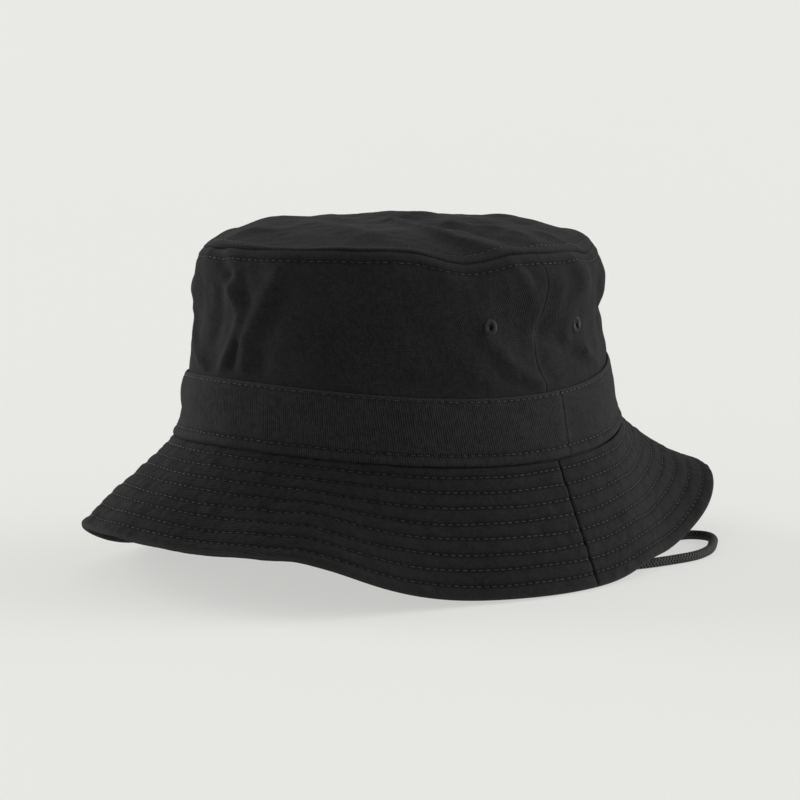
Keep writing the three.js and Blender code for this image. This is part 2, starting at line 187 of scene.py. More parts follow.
def shell(outer, inner, flat, tone_and_painted_light=None, keep=None, wrapped=False, pole=False):
    """The outer grid, the inner grid turned over, and a strip where a kept square has no kept neighbour."""
    rows, columns = outer.shape[:2]
    wide = columns if wrapped else columns - 1
    keep = np.ones((rows - 1, wide), bool) if keep is None else keep
    side = rows * columns
    tone_and_painted_light = np.zeros((rows, columns)) if tone_and_painted_light is None else tone_and_painted_light

    def joining(turn):
        """Quads between the sides, from four (row, column) pairs: two outside, then two inside."""
        place = np.stack([s * side + a * columns + b % columns for (a, b), s in zip(turn, (0, 0, 1, 1))], -1)
        cloth = np.stack([flat[a, b] for a, b in turn], 1)
        return place, cloth

    i, j = np.nonzero(keep)
    corners = [(i, j), (i, j + 1), (i + 1, j + 1), (i + 1, j)]
    top = np.stack([a * columns + b % columns for a, b in corners], -1)
    cloth = np.stack([flat[a, b] for a, b in corners], 1)
    quads, cloths = [top, top[:, ::-1] + side], [cloth, cloth[:, ::-1]]
    level = np.vstack([np.zeros((1, wide), bool), keep, np.zeros((1, wide), bool)])
    below, above = level[:-1], level[1:]
    first_row = np.arange(rows)[:, None] == 0
    i, j = np.nonzero(above & ~below & ~(first_row & pole))
    rims = [joining([(i, j + 1), (i, j), (i, j), (i, j + 1)])]
    i, j = np.nonzero(below & ~above)
    rims.append(joining([(i, j), (i, j + 1), (i, j + 1), (i, j)]))
    if not wrapped:
        blank = np.zeros((rows - 1, 1), bool)
        upright = np.hstack([blank, keep, blank])
        left, right = upright[:, :-1], upright[:, 1:]
        i, j = np.nonzero(right & ~left)
        rims.append(joining([(i, j), (i + 1, j), (i + 1, j), (i, j)]))
        i, j = np.nonzero(left & ~right)
        rims.append(joining([(i + 1, j), (i, j), (i, j), (i + 1, j)]))
    quads = np.concatenate(quads + [q for q, _ in rims])
    cloths = np.concatenate(cloths + [c for _, c in rims])
    points = np.concatenate([outer.reshape(-1, 3), inner.reshape(-1, 3)])
    tone_and_painted_light = np.concatenate([tone_and_painted_light.ravel(), tone_and_painted_light.ravel()])
    flipped = inside_out(points, quads)
    used, quads = np.unique(quads, return_inverse=True)
    quads = quads.reshape(-1, 4)
    points, tone_and_painted_light = points[used], tone_and_painted_light[used]
    faces, flats = [quads], [cloths]
    if pole:
        ring = np.arange(columns)
        centre = len(points) + np.array([0, 1])
        points = np.vstack([points, outer[0].mean(0), inner[0].mean(0)])
        tone_and_painted_light = np.append(tone_and_painted_light, [0, 0])
        around = flat[0, :columns], np.roll(flat[0, :columns], -1, 0)
        middle = np.broadcast_to(flat[0, :columns].mean(0), (columns, 2))
        for number, start in enumerate((0, side)):
            first = np.searchsorted(used, start + ring)
            second = np.searchsorted(used, start + (ring + 1) % columns)
            fan = np.stack([np.full(columns, centre[number]), second, first], -1)
            spread = np.stack([middle, around[1], around[0]], 1)
            faces.append(fan if number == 0 else fan[:, ::-1])
            flats.append(spread if number == 0 else spread[:, ::-1])
    if flipped:
        faces, flats = [f[:, ::-1] for f in faces], [f[:, ::-1] for f in flats]
    return {"points": points, "faces": faces, "flats": flats, "tone_and_painted_light": tone_and_painted_light}


def put(name, form, finish, replaces=(), body="hat"):
    """Puts arrays into a mesh, in metres, and gives each corner its place on the flat cloth."""
    mesh = bpy.data.meshes.new(name)
    faces = [face for kind in form["faces"] for face in kind.tolist()]
    mesh.from_pydata((form["points"] * MM).tolist(), [], faces)
    mesh.polygons.foreach_set("use_smooth", np.ones(len(faces), bool))
    if "flats" in form:
        flat = np.concatenate([kind.reshape(-1, 2) for kind in form["flats"]])
        mesh.uv_layers.new(name="cloth").data.foreach_set("uv", flat.astype(np.float32).ravel())
    if "tone_and_painted_light" in form:
        tone_and_painted_light = mesh.attributes.new("tone_and_painted_light", "FLOAT", "POINT")
        tone_and_painted_light.data.foreach_set("value", form["tone_and_painted_light"].astype(np.float32))
    mesh.materials.append(finish)
    mesh.update()
    piece = bpy.data.objects.new(name, mesh)
    bpy.context.collection.objects.link(piece)
    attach(piece, body)
    if replaces:
        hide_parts(*replaces)
    triangles = sum(len(kind) * (kind.shape[1] - 2) for kind in form["faces"])
    print(f"{name}: {len(form['points'])} points, {triangles} triangles")
    return piece


# %% [markdown]
# ## Shader sums written as sums
# A weave is arithmetic on the cloth's two directions. Wiring each Math node by hand hides the formula, so a
# small class lets Python's own signs add the nodes, and the formula stays readable. Every other node comes
# from one method, which takes the node's kind, its settings and its sockets.

# %% Shader tools


class Wire:
    """An output socket on which +, -, *, / and a few named functions add Math nodes."""

    def __init__(self, finish, socket):
        self.finish, self.socket = finish, socket

    def math(self, operation, first, second=0.0):
        return self.finish.add("Math", {"operation": operation}, {0: first, 1: second})

    def __add__(self, other):
        return self.math("ADD", self, other)

    def __sub__(self, other):
        return self.math("SUBTRACT", self, other)

    def __rsub__(self, other):
        return self.math("SUBTRACT", other, self)

    def __mul__(self, other):
        return self.math("MULTIPLY", self, other)

    def __truediv__(self, other):
        return self.math("DIVIDE", self, other)

    __radd__ = __add__
    __rmul__ = __mul__

    def sine(self):
        return self.math("SINE", self)

    def floor(self):
        return self.math("FLOOR", self)

    def part(self):
        """What is left after the whole number is taken away."""
        return self.math("FRACT", self)

    def larger(self, other):
        return self.math("MAXIMUM", self, other)

    def between(self, low, high):
        """0 at low, 1 at high, in a straight line between, and never outside 0 to 1."""
        sockets = {"Value": self, "From Min": low, "From Max": high, "To Min": 0.0, "To Max": 1.0}
        return self.finish.add("MapRange", {"clamp": True}, sockets)


class Finish:
    """A material being wired up: its node tree, and the one method that adds a node."""

    def __init__(self, name):
        self.material = bpy.data.materials.new(name)
        self.material.use_nodes = True
        self.tree = self.material.node_tree
        self.tree.nodes.clear()

    def add(self, kind, settings=None, sockets=None, output=0):
        """Adds a node: settings first, then values or links of its sockets. Gives its output as a Wire."""
        node = self.tree.nodes.new("ShaderNode" + kind)
        for name, value in (settings or {}).items():
            setattr(node, name, value)
        for name, value in (sockets or {}).items():
            if isinstance(value, Wire):
                self.tree.links.new(value.socket, node.inputs[name])
            else:
                node.inputs[name].default_value = value
        if isinstance(output, tuple):
            return [Wire(self, node.outputs[k]) for k in output]
        return Wire(self, node.outputs[output])

    def cloth(self):
        """The two directions of the flat cloth, in millimetres."""
        return self.add("SeparateXYZ", {}, {0: self.add("UVMap", {"uv_map": "cloth"})}, output=(0, 1))

    def noise(self, vector, scale, detail=3.0, roughness=0.55):
        sockets = {"Vector": vector, "Scale": scale, "Detail": detail, "Roughness": roughness}
        return self.add("TexNoise", {}, sockets)

    def vector(self, x, y, z=0.0):
        return self.add("CombineXYZ", {}, {0: x, 1: y, 2: z})

    def place(self):
        """The point of the piece itself, in metres."""
        return self.add("TexCoord", {}, {}, output=3)

    def blend(self, factor, first, second):
        """first where factor is 0 and second where it is 1."""
        return self.add("Mix", {"data_type": "RGBA"}, {0: factor, 6: first, 7: second}, output=2)

    def done(self, height=None, depth=0.0001, **sockets):
        """The surface itself. height, from 0 to 1, stands depth metres proud."""
        named = {name.replace("_", " "): value for name, value in sockets.items()}
        if height is not None:
            named["Normal"] = self.add("Bump", {}, {"Height": height, "Strength": 1.0, "Distance": depth})
        surface = self.add("BsdfPrincipled", {}, named)
        self.add("OutputMaterial", {}, {"Surface": surface}, output=())
        return self.material


def grey(value, warmth=0.0):
    """A near-black or grey colour, a little warmer or cooler than neutral."""
    return (value * (1 + warmth), value, value * (1 - warmth), 1.0)


# %% [markdown]
# ## The twill
# Twill's yarns pass over two and under one, one step further in each row, which draws fine slanting ribs
# about a millimetre apart. Each rib is a row of short raised floats. The rib is a sine across the slant,
# each float is a flat-topped bump along it, and streaks along the yarns stand for thick and thin spots.
# Black cotton also catches lint and fades a little on the edges that get handled. Numbers kept on each
# mesh point lighten the cloth above 0: faded edges and hems, and a painted highlight on the cloth folded
# beside the side seams and the band joint. Below 0 they darken it nearly to black with painted shade, down
# in the stitched channels, in the seam grooves and where one piece tucks under another. The rib tops are
# painted lighter than the hollows between them, a painted light and shade on the weave.

# %% Twill
FLOAT_LENGTH = 1.35


def make_twill(name, slant, rib_width=0.78, dark=0.0048, light=0.0255):
    """Ribs across a slant in degrees, floats along it, yarn streaks, faded edges, painted light and shade."""
    finish = Finish(name)
    u, v = finish.cloth()
    c, s = math.cos(math.radians(slant)), math.sin(math.radians(slant))
    across = (u * c + v * s) / rib_width
    along = (v * c - u * s) / FLOAT_LENGTH
    rib = (across * (2 * math.pi)).sine() * 0.5 + 0.5
    yarn = along + across.floor() * 0.37
    spot = yarn.part() * 2 - 1
    float_number = finish.vector(across.floor(), yarn.floor())
    each = finish.add("TexWhiteNoise", {"noise_dimensions": "3D"}, {"Vector": float_number})
    raised = rib * (1 - spot * spot * spot * spot * 0.45)
    warp = finish.noise(finish.vector(across * 2.1, along * 0.12), 1.0, 2.0)
    weft = finish.noise(finish.vector(u * 0.12, v * 1.6, 3.0), 1.0, 2.0)
    patch = finish.noise(finish.place(), 28.0, 4.0)
    lint = finish.noise(finish.vector(u, v, 9.0), 1.35, 2.0).between(0.70, 0.80)
    tone_and_painted_light = finish.add("Attribute", {"attribute_name": "tone_and_painted_light"}, {}, output=2)
    # Rib tops painted lighter and hollows darker (painted light and shade); float, streak and patch terms are
    # the yarn's own tone.
    amount = raised * 0.55 + each * 0.24 + warp * 0.32 + weft * 0.30 + patch * 0.35 - 0.52
    colour = finish.blend(amount.between(0.0, 1.0), grey(dark, -0.02), grey(light, -0.02))
    # Above 0: blend towards grey for faded edges, and for a painted highlight beside the side seams and band
    # joint.
    colour = finish.blend((tone_and_painted_light * (0.35 + patch * 0.5)).between(0.0, 1.0), colour, grey(0.028, 0.02))
    # Below 0: blend towards near-black, a painted shade in stitch channels, seam grooves and tucks.
    colour = finish.blend((tone_and_painted_light * -1.0).between(0.0, 1.0), colour, grey(0.0012))
    colour = finish.blend(lint * 0.25, colour, grey(0.03, 0.02))
    height = raised * 0.52 + each * 0.14 + warp * 0.22 + weft * 0.12
    return finish.done(
        height, 0.00016, Base_Color=colour, Roughness=(0.86 - raised * 0.10 + patch * 0.06),
        Sheen_Weight=0.02, Sheen_Roughness=0.5, Sheen_Tint=(0.95, 0.96, 1.0, 1.0), Specular_IOR_Level=0.05,
    )


TWILL = make_twill("black_twill", 35)
TWILL_BAND = make_twill("black_twill_band", 8, 0.95, 0.0055, 0.0310)
TWILL_BRIM = make_twill("black_twill_brim", 12, 0.95, 0.0048, 0.0235)
print("twill:", len(TWILL.node_tree.nodes), "nodes")

# %% [markdown]
# ## Tape, sweatband, label and stiffener
# The inside of the hat has quieter cloths. Binding tape has fine cross ribs, the sweatband is a smooth
# plain weave, the label a shiny satin, and the stiffener is felt-like, with no weave at all. One
# plain-weave formula serves the first three: the product of two sines, one for each yarn direction, with
# its own spacing and gloss.

# %% Inner cloths


def make_plain(name, warp_width, weft_width, dark, light, sheen, roughness):
    """Over-and-under weave: a sine across one yarn times a sine across the other, with streaks."""
    finish = Finish(name)
    u, v = finish.cloth()
    over = (u * (math.pi / warp_width)).sine()
    under = (v * (math.pi / weft_width)).sine()
    weave = over * under * 0.5 + 0.5
    streak = finish.noise(finish.vector(u * 0.1, v * 2.2), 1.0, 2.0)
    patch = finish.noise(finish.place(), 40.0, 3.0)
    # The raised crossings are painted lighter and the hollows darker, a painted light and shade; streaks and
    # patches are the yarn's own tone.
    amount = weave * 0.5 + streak * 0.3 + patch * 0.3
    colour = finish.blend(amount.between(0.1, 1.0), grey(dark), grey(light))
    return finish.done(
        weave * 0.8 + streak * 0.2, 0.00010, Base_Color=colour, Roughness=roughness + patch * 0.08,
        Sheen_Weight=sheen, Sheen_Roughness=0.4, Specular_IOR_Level=0.3,
    )


TAPE = make_plain("binding_tape", 0.45, 0.9, 0.008, 0.020, 0.18, 0.70)
SWEATBAND = make_plain("sweatband_cotton", 0.4, 0.4, 0.010, 0.022, 0.22, 0.74)
LABEL = make_plain("label_satin", 1.6, 0.2, 0.012, 0.034, 0.35, 0.42)


def make_felt():
    """Pressed fibres: fine and coarse noise for the tone, the fine one for the bump, the coarse one for the
    gloss.
    """
    finish = Finish("stiffener_felt")
    fibre = finish.noise(finish.place(), 2600.0, 4.0, 0.7)
    clump = finish.noise(finish.place(), 300.0, 3.0)
    colour = finish.blend(fibre * 0.6 + clump * 0.4, grey(0.018), grey(0.045))
    return finish.done(fibre, 0.00008, Base_Color=colour, Roughness=0.92 + clump * 0.05, Sheen_Weight=0.1)


FELT = make_felt()

# %% [markdown]
# ## Thread, cord and the lock's materials
# Sewing thread is polyester: a little lighter and glossier than the cotton, so rows of stitches glint where
# light comes in low. The cord is a round braid: strands wind both ways and pass over and under, which makes
# small diamonds. Its shape gets the same two-way winding as its colour. The lock is moulded plastic with a
# fine spark-eroded grain, its button is smoother, and its spring is drawn wire.

# %% Thread, cord, plastic, steel


def make_thread(name, dark, light):
    """Fine filaments, a slow change along each row, and a tone of its own for each stitch."""
    finish = Finish(name)
    fine = finish.noise(finish.place(), 2200.0, 2.0)
    slow = finish.noise(finish.place(), 60.0, 2.0)
    each = finish.add("Attribute", {"attribute_name": "tone_and_painted_light"}, {}, output=2)
    tone = (each * 0.8 + fine * 0.4 + slow * 0.5 - 0.4).between(0.0, 1.0)
    colour = finish.blend(tone, grey(dark), grey(light))
    return finish.done(
        fine, 0.00006, Base_Color=colour, Roughness=0.48 + fine * 0.1,
        Sheen_Weight=0.04, Sheen_Roughness=0.4, Specular_IOR_Level=0.25,
    )


BRAID_TURNS = 6
BRAID_PER_MM = 3.8


def make_braid():
    """Two families of strands wind opposite ways; the higher one is painted lighter, with fine filaments
    along it.
    """
    finish = Finish("braided_cord")
    u, v = finish.cloth()
    first = u * BRAID_TURNS + v * BRAID_PER_MM
    second = u * BRAID_TURNS - v * BRAID_PER_MM
    one, other = first.sine() * 0.5 + 0.5, second.sine() * 0.5 + 0.5
    top = one.larger(other)
    filament = finish.noise(finish.vector(first * 1.6, second * 0.15), 1.0, 2.0)
    patch = finish.noise(finish.place(), 90.0, 2.0)
    # Strand tops painted lighter and the grooves between strands nearly black: painted highlight and painted
    # shade.
    tone = (top * 3.6 + filament * 0.5 + patch * 0.3 - 3.0).between(0.0, 1.0)
    colour = finish.blend(tone, grey(0.0008), grey(0.080))
    return finish.done(
        top * 0.8 + filament * 0.2, 0.00050, Base_Color=colour, Roughness=0.60 + filament * 0.15,
        Sheen_Weight=0.0, Specular_IOR_Level=0.10,
    )


def make_plastic(name, tone, roughness, grain):
    """Moulded plastic: a fine grain in the bump, and gloss that is a little uneven from handling."""
    finish = Finish(name)
    fine = finish.noise(finish.place(), 5200.0, 3.0)
    rubbed = finish.noise(finish.place(), 260.0, 3.0)
    colour = finish.blend(rubbed, grey(tone), grey(tone * 1.7))
    return finish.done(
        fine, grain, Base_Color=colour, Roughness=roughness + rubbed * 0.12, Specular_IOR_Level=0.5,
    )


def make_steel():
    """Drawn wire: bright metal with streaks along the turns."""
    finish = Finish("spring_wire")
    streak = finish.noise(finish.place(), 3000.0, 2.0)
    colour = finish.blend(streak, grey(0.50), grey(0.66))
    return finish.done(streak, 0.00001, Base_Color=colour, Metallic=1.0, Roughness=0.24 + streak * 0.14)


THREAD = make_thread("sewing_thread", 0.004, 0.027)
EYELET_THREAD = make_thread("eyelet_thread", 0.002, 0.010)
BRAID = make_braid()
LOCK_PLASTIC = make_plastic("lock_plastic_fine_grain", 0.011, 0.42, 0.00004)
BUTTON_PLASTIC = make_plastic("lock_button_satin", 0.013, 0.30, 0.00001)
STEEL = make_steel()
print("materials:", len(bpy.data.materials))

# %% [markdown]
# ## The chin cord
# The cord hangs from a tab at each ear. With the hat set down, it drops to the table, shows as one slack
# bow outside the brim's edge at the wearer's left, and goes in again under the back. Both strands run
# through the lock. Its line passes smoothly through the points below, each step weighted by the square root
# of its length, which keeps a curve through uneven points free of loops. The tube's radius swells where the
# strands cross over.

# %% Cord
CORD_DIAMETER = 4.0
ON_TABLE = TABLE + CORD_DIAMETER / 2 + 0.05
IN_LOCK = TABLE + 5.3
tab_low, tab_high = (np.array(corner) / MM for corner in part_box("cord_tab_left"))
TAB_X = (tab_low[0] + tab_high[0]) / 2
CORD_TOP = tab_low[2] - 0.3
CORD_ROUTE = np.array([
    [TAB_X, 0, CORD_TOP], [TAB_X, 0, -28], [TAB_X, 2.5, -43], [83, 13, -52.8], [88.5, 25, ON_TABLE],
    [94, 37, ON_TABLE], [97.8, 49, ON_TABLE], [100.2, 62, ON_TABLE], [101.2, 76, ON_TABLE],
    [97.6, 89.5, ON_TABLE], [90, 102, ON_TABLE], [82, 112, ON_TABLE], [75.7, 115.2, ON_TABLE],
    [69.4, 112.6, ON_TABLE], [67, 106, ON_TABLE], [67.6, 96, ON_TABLE], [63, 87, ON_TABLE],
    [53.5, 83.5, ON_TABLE], [42, 88, ON_TABLE], [31, 97, ON_TABLE], [21.5, 107, ON_TABLE],
    [12, 113.6, ON_TABLE], [4.2, 112, ON_TABLE + 1.2], [0.4, 103.5, IN_LOCK - 0.6], [0, 92, IN_LOCK],
    [0, 36, IN_LOCK], [0.6, 24, IN_LOCK - 0.8], [4.6, 10, ON_TABLE + 0.3], [7.6, -4, ON_TABLE],
    [4.7, -11, ON_TABLE], [-2.4, -14, ON_TABLE], [-9.5, -11, ON_TABLE], [-12.4, -4, ON_TABLE],
    [-9.4, 10, ON_TABLE + 0.3], [-5.4, 24, IN_LOCK - 0.8], [-4.8, 36, IN_LOCK], [-4.8, 92, IN_LOCK],
    [-5.2, 104, IN_LOCK - 0.5], [-12, 122, ON_TABLE], [-28, 134, ON_TABLE], [-49, 127, ON_TABLE],
    [-65, 99, ON_TABLE], [-76, 62, ON_TABLE], [-83, 26, ON_TABLE], [-82, 11, -51.5], [-TAB_X, 1, -38],
    [-TAB_X, 0, CORD_TOP],
])


def cord_line(points, steps):
    """Cubics between the points, whose end slopes weigh each neighbouring step by the root of its length."""
    wide = np.vstack([2 * points[0] - points[1], points, 2 * points[-1] - points[-2]])
    p0, p1, p2, p3 = wide[:-3], wide[1:-2], wide[2:-1], wide[3:]
    d0, d1, d2 = (np.sqrt(np.linalg.norm(b - a, axis=1))[:, None] for a, b in ((p0, p1), (p1, p2), (p2, p3)))
    slope_in = ((p1 - p0) / d0 - (p2 - p0) / (d0 + d1) + (p2 - p1) / d1) * d1
    slope_out = ((p2 - p1) / d1 - (p3 - p1) / (d1 + d2) + (p3 - p2) / d2) * d1
    w = np.linspace(0, 1, 60, endpoint=False)[None, :, None]
    p1, p2, slope_in, slope_out = (x[:, None, :] for x in (p1, p2, slope_in, slope_out))
    dense = (
        (2 * w**3 - 3 * w**2 + 1) * p1 + (w**3 - 2 * w**2 + w) * slope_in
        + (3 * w**2 - 2 * w**3) * p2 + (w**3 - w**2) * slope_out
    ).reshape(-1, 3)
    dense = np.vstack([dense, points[-1]])
    along = np.append(0, np.cumsum(np.linalg.norm(np.diff(dense, axis=0), axis=1)))
    even = np.linspace(0, along[-1], steps)
    return np.stack([np.interp(even, along, dense[:, k]) for k in range(3)], -1), along[-1]


def frames(line):
    """Two directions square to a line at each point, carried along it with as little turning as possible."""
    tangent = unit(np.gradient(line, axis=0))
    first = np.zeros_like(line)
    first[0] = unit(np.cross(tangent[0], [0.0, 1.0, 0.0]))
    for i in range(1, len(line)):
        carried = first[i - 1] - tangent[i] * (first[i - 1] @ tangent[i])
        first[i] = carried / np.linalg.norm(carried)
    return first, np.cross(tangent, first)


def tube(line, radius, flat_u, flat_v):
    """A ring of points round each point of the line; radius is a grid (points, sides). Ends are closed."""
    steps, sides = radius.shape
    first, second = frames(line)
    angle = 2 * np.pi * np.arange(sides) / sides
    ring = first[:, None] * np.cos(angle)[:, None] + second[:, None] * np.sin(angle)[:, None]
    points = line[:, None] + ring * radius[..., None]
    i, j, quads = tube_quads(steps, sides)
    flat = np.stack([
        np.stack([flat_u[a], flat_v[b]], -1) for a, b in ((j, i), (j + 1, i), (j + 1, i + 1), (j, i + 1))
    ], 1)
    faces = [quads, tube_ends(steps, sides)]
    return {"points": points.reshape(-1, 3), "faces": faces, "flats": [flat, np.zeros((2, sides, 2))]}


CORD_STEPS = 1750
cord_path, CORD_LENGTH = cord_line(CORD_ROUTE, CORD_STEPS)
cord_path[:, 2] = np.maximum(cord_path[:, 2], FLOOR + CORD_DIAMETER / 2 + 0.04)
CORD_SIDES = 36
cord_angle = 2 * np.pi * np.arange(CORD_SIDES + 1) / CORD_SIDES
cord_along = np.linspace(0, CORD_LENGTH, len(cord_path))
winding = BRAID_TURNS * cord_angle[None, :-1]
strands = np.maximum(
    np.sin(winding + BRAID_PER_MM * cord_along[:, None]), np.sin(winding - BRAID_PER_MM * cord_along[:, None])
)
cord_radius = CORD_DIAMETER / 2 - 0.07 + 0.11 * strands
chin_cord = put(
    "braided_chin_cord", tube(cord_path, cord_radius, cord_angle, cord_along), BRAID, ["chin_cord"]
)
print("cord", round(CORD_LENGTH, 1), "mm")

# %% [markdown]
# ## The shape of the crown
# The wall leans in under the band, has a slack waist and a soft shoulder below the tip. Its profile is a
# curve through ten points, carried round an oval. Modelling the folds by dragging points would be slow to
# redo, so each fold is a bell-shaped ridge or dent around a short broken line, given by its angle round the
# head and its height up the wall. The angle is 0 at the wearer's left ear, 90 degrees at the back and -90
# at the front.

# %% Crown
HEAD_HALF_WIDTH = 89.0
LENGTH_EXTRA = 13.5
BAND_HEIGHT = 27.0
BAND_TOP_HALF_WIDTH = 83.5
TIP_SEAM_HEIGHT = 80.0
CLOTH = 1.0
HEAD_TILT = 1.8
HEAD_DIP = 4.4
TIP_TILT = 2.5
MM_PER_DEGREE = 1.6
WALL_ROW = 76.2
TIP_ROW = 4.3
WALL_PROFILE = [
    (87.6, 0), (84.85, 13.5), (82.1, 27), (80, 42), (78.7, 50),
    (79.1, 58), (79.7, 66), (79.2, 72.3), (77.6, 76.6), (75.2, 80),
]
profile_share = np.linspace(0, 1, 801)
profile_line = spline(WALL_PROFILE, profile_share)


def head_wave(phi):
    """The head line rises at the front and back and dips over the ears."""
    return HEAD_TILT * np.sin(phi) - HEAD_DIP * np.cos(2 * phi)


def band_half_width(height):
    """The straight slope from the head line up to the band's top edge."""
    return HEAD_HALF_WIDTH + (BAND_TOP_HALF_WIDTH - HEAD_HALF_WIDTH) / BAND_HEIGHT * height


def crown_point(phi, half_width, height):
    """An oval at each height, moved up by the head line's wave, which fades into the tip seam's tilt."""
    share = np.clip((height - BAND_HEIGHT) / (TIP_SEAM_HEIGHT - BAND_HEIGHT), 0, 1)
    lift = head_wave(phi) * (1 - share) - TIP_TILT * np.sin(phi) * share
    return np.stack([half_width * np.cos(phi), (half_width + LENGTH_EXTRA) * np.sin(phi), height + lift], -1)


def near(phi, height, path):
    """Distance in millimetres, along the cloth, from each point to a broken line of (degrees, height)."""
    here = np.stack([np.degrees(phi) * MM_PER_DEGREE, height], -1)
    line = np.array(path, float) * [MM_PER_DEGREE, 1.0]
    best = np.full(np.shape(phi), 1e9)
    for start, end in zip(line[:-1], line[1:]):
        step = end - start
        share = np.clip(((here - start) @ step) / (step @ step), 0, 1)
        best = np.minimum(best, np.linalg.norm(here - start - share[..., None] * step, axis=-1))
    return best


# path in (degrees, height), width, height of the ridge (below 0 for a dent)
WALL_FOLDS = [
    ([(-78, 69), (-83, 59.5), (-87, 51), (-89.5, 43), (-88.5, 32)], 4.4, 1.7),
    ([(-97, 63), (-92, 54), (-93.5, 48), (-95.5, 38.5), (-98.5, 30)], 3.6, 1.3),
    ([(-91, 68), (-89, 59)], 3.8, -1.4),
    ([(-92, 41), (-93.5, 32)], 2.0, -1.1),
    ([(-75, 62), (-82, 46), (-82, 33)], 4.6, -1.2),
    ([(-98, 70), (-104, 77), (-109, 80)], 4.2, -2.2),
    ([(-102, 62), (-104, 46)], 5.0, -1.0),
    ([(-127, 52), (-116, 37), (-108, 30)], 2.6, 1.5),
    ([(-137, 79), (-134, 74)], 11.0, -3.4),
    ([(-132, 64), (-126, 58)], 7.0, 1.2),
    ([(15.5, 73), (17, 69)], 9.0, 2.0),
    ([(19, 78), (31, 80)], 3.0, -1.8),
    ([(43, 65), (40, 60)], 8.0, 1.9),
    ([(44, 46), (38, 43)], 7.0, -2.9),
    ([(2, 50), (14.5, 43.5)], 4.6, -1.9),
    ([(12, 46), (19, 39.5)], 2.8, 1.2),
    ([(-10.5, 77), (-4.5, 62.5)], 3.4, 1.1),
    ([(-18, 49), (-2, 30)], 3.8, 1.3),
    ([(20, 38), (27, 31)], 3.2, 1.3),
    ([(-66, 60), (-52, 44), (-44, 30)], 9.0, -0.9),
    ([(-48, 66), (-58, 40)], 7.0, 0.6),
    ([(-30, 70), (-42, 52)], 8.0, 0.8),
    ([(58, 68), (66, 50), (60, 32)], 4.6, 1.8),
    ([(74, 62), (78, 40)], 5.0, -1.7),
    ([(98, 70), (92, 52), (99, 34)], 4.6, 1.9),
    ([(118, 60), (126, 42)], 5.5, -1.6),
    ([(146, 72), (140, 54), (150, 34)], 5.0, 1.8),
    ([(172, 56), (180, 38)], 5.0, -1.5),
    ([(-160, 70), (-166, 50), (-158, 32)], 4.6, 1.8),
    ([(-147, 60), (-142, 40)], 5.5, -1.5),
]

# angle in degrees, and how far the tip seam has sunk there
TIP_SEAM_SAG = np.array([
    (-172, 0.9), (-158, 0.4), (-146, 3.6), (-134, 4.6), (-124, 3.0), (-112, 1.2), (-99, 0.2), (-85, -0.2),
    (-72, -0.4), (-60, -1.5), (-46, -1.5), (-38, -0.9), (-32, 2.0), (-27, 3.9), (-22, 4.2), (-18, 3.2),
    (-15, 2.3), (-9, 0.4), (0, 0.7), (7, 1.4), (19, 1.6), (30, 3.2), (40, 2.6), (54, 0.6), (66, -0.8),
    (84, 0.7), (108, 1.7), (132, -0.5), (158, 0.6),
])
sag_angle = np.arange(-180, 180)
sag_line = np.interp(sag_angle, TIP_SEAM_SAG[:, 0], TIP_SEAM_SAG[:, 1], period=360)
sag_bell = np.roll(bump(sag_angle, 2.6), 180)
sag_line = np.real(np.fft.ifft(np.fft.fft(sag_line) * np.fft.fft(sag_bell / sag_bell.sum())))


def tip_sag(phi):
    """How far the tip seam has sunk, read from the table above after softening its corners."""
    return np.interp(np.degrees(phi), sag_angle, sag_line, period=360)


def wrap(phi):
    """The same angle between -180 and 180 degrees, in radians."""
    return (phi + np.pi) % (2 * np.pi) - np.pi


def side_seam(phi, height):
    """The angle of the side seams wanders a little with height, and the cloth beside them follows."""
    fade = smooth(height, 28, 32) * smooth(height, 80, 74)
    left = -2.4 * np.sin(np.pi * (height - 28) / 26) * bump(np.degrees(wrap(phi)), 24)
    right = 1.8 * np.sin(np.pi * (height - 26) / 30) * bump(np.degrees(wrap(phi + np.pi)), 24)
    return phi + np.radians(left + right) * fade


def wall_relief(phi, height):
    """All ridges and dents of the wall, and three sizes of swell, fading out at the band and the tip."""
    turned = wrap(phi)
    total = np.zeros(np.shape(phi))
    for path, width, rise in WALL_FOLDS:
        distance = near(turned, height, path)
        if max(abs(angle) for angle, _ in path) > 140:
            other = near(np.where(turned < 0, turned + 2 * np.pi, turned - 2 * np.pi), height, path)
            distance = np.minimum(distance, other)
        total += rise * bump(distance, width)
    place = crown_point(phi, 80.0, height)
    total += 0.65 * swell(place, 46, 3) + 0.40 * swell(place, 17, 4) + 0.10 * swell(place, 6.5, 5)
    return total * smooth(height, 26.5, 33) * (1 - 0.6 * smooth(height, 74, 80))


def wall(phi, height, depth, seam=True):
    """The wall's profile carried round the oval, with its folds pushed out square to the profile."""
    share = np.interp(height, profile_line[:, 1], profile_share)
    here = spline(WALL_PROFILE, share)
    step = unit(spline(WALL_PROFILE, share + 1e-3) - spline(WALL_PROFILE, share - 1e-3))
    out = wall_relief(phi, height)
    if seam:
        out = out + 0.55 * smooth(height, 75.2, 77.4) - 0.30 * bump(height - WALL_ROW, 0.7)
        out = out - 0.35 * (1 - np.sqrt(np.clip(1 - ((height - 78.8) / 1.2).clip(0, 1) ** 2, 0, 1)))
    inwards = depth - out
    half_width = here[..., 0] - inwards * step[..., 1]
    level = here[..., 1] + inwards * step[..., 0]
    spot = crown_point(side_seam(phi, height), half_width, level)
    spot[..., 2] -= tip_sag(phi) * smooth(height, 56, 80)
    return spot


def panel_angles(start, end, count, radius, gap=0.05):
    """Even steps from seam to seam, with closer steps beside each seam so that its edge can round over."""
    close = np.array([0, 0.15, 0.35, 0.6, 0.95, 1.4, 2.1]) + gap
    a, b = start + close / radius, end - close[::-1] / radius
    return np.concatenate([a, np.linspace(a[-1], b[0], count)[1:-1], b])


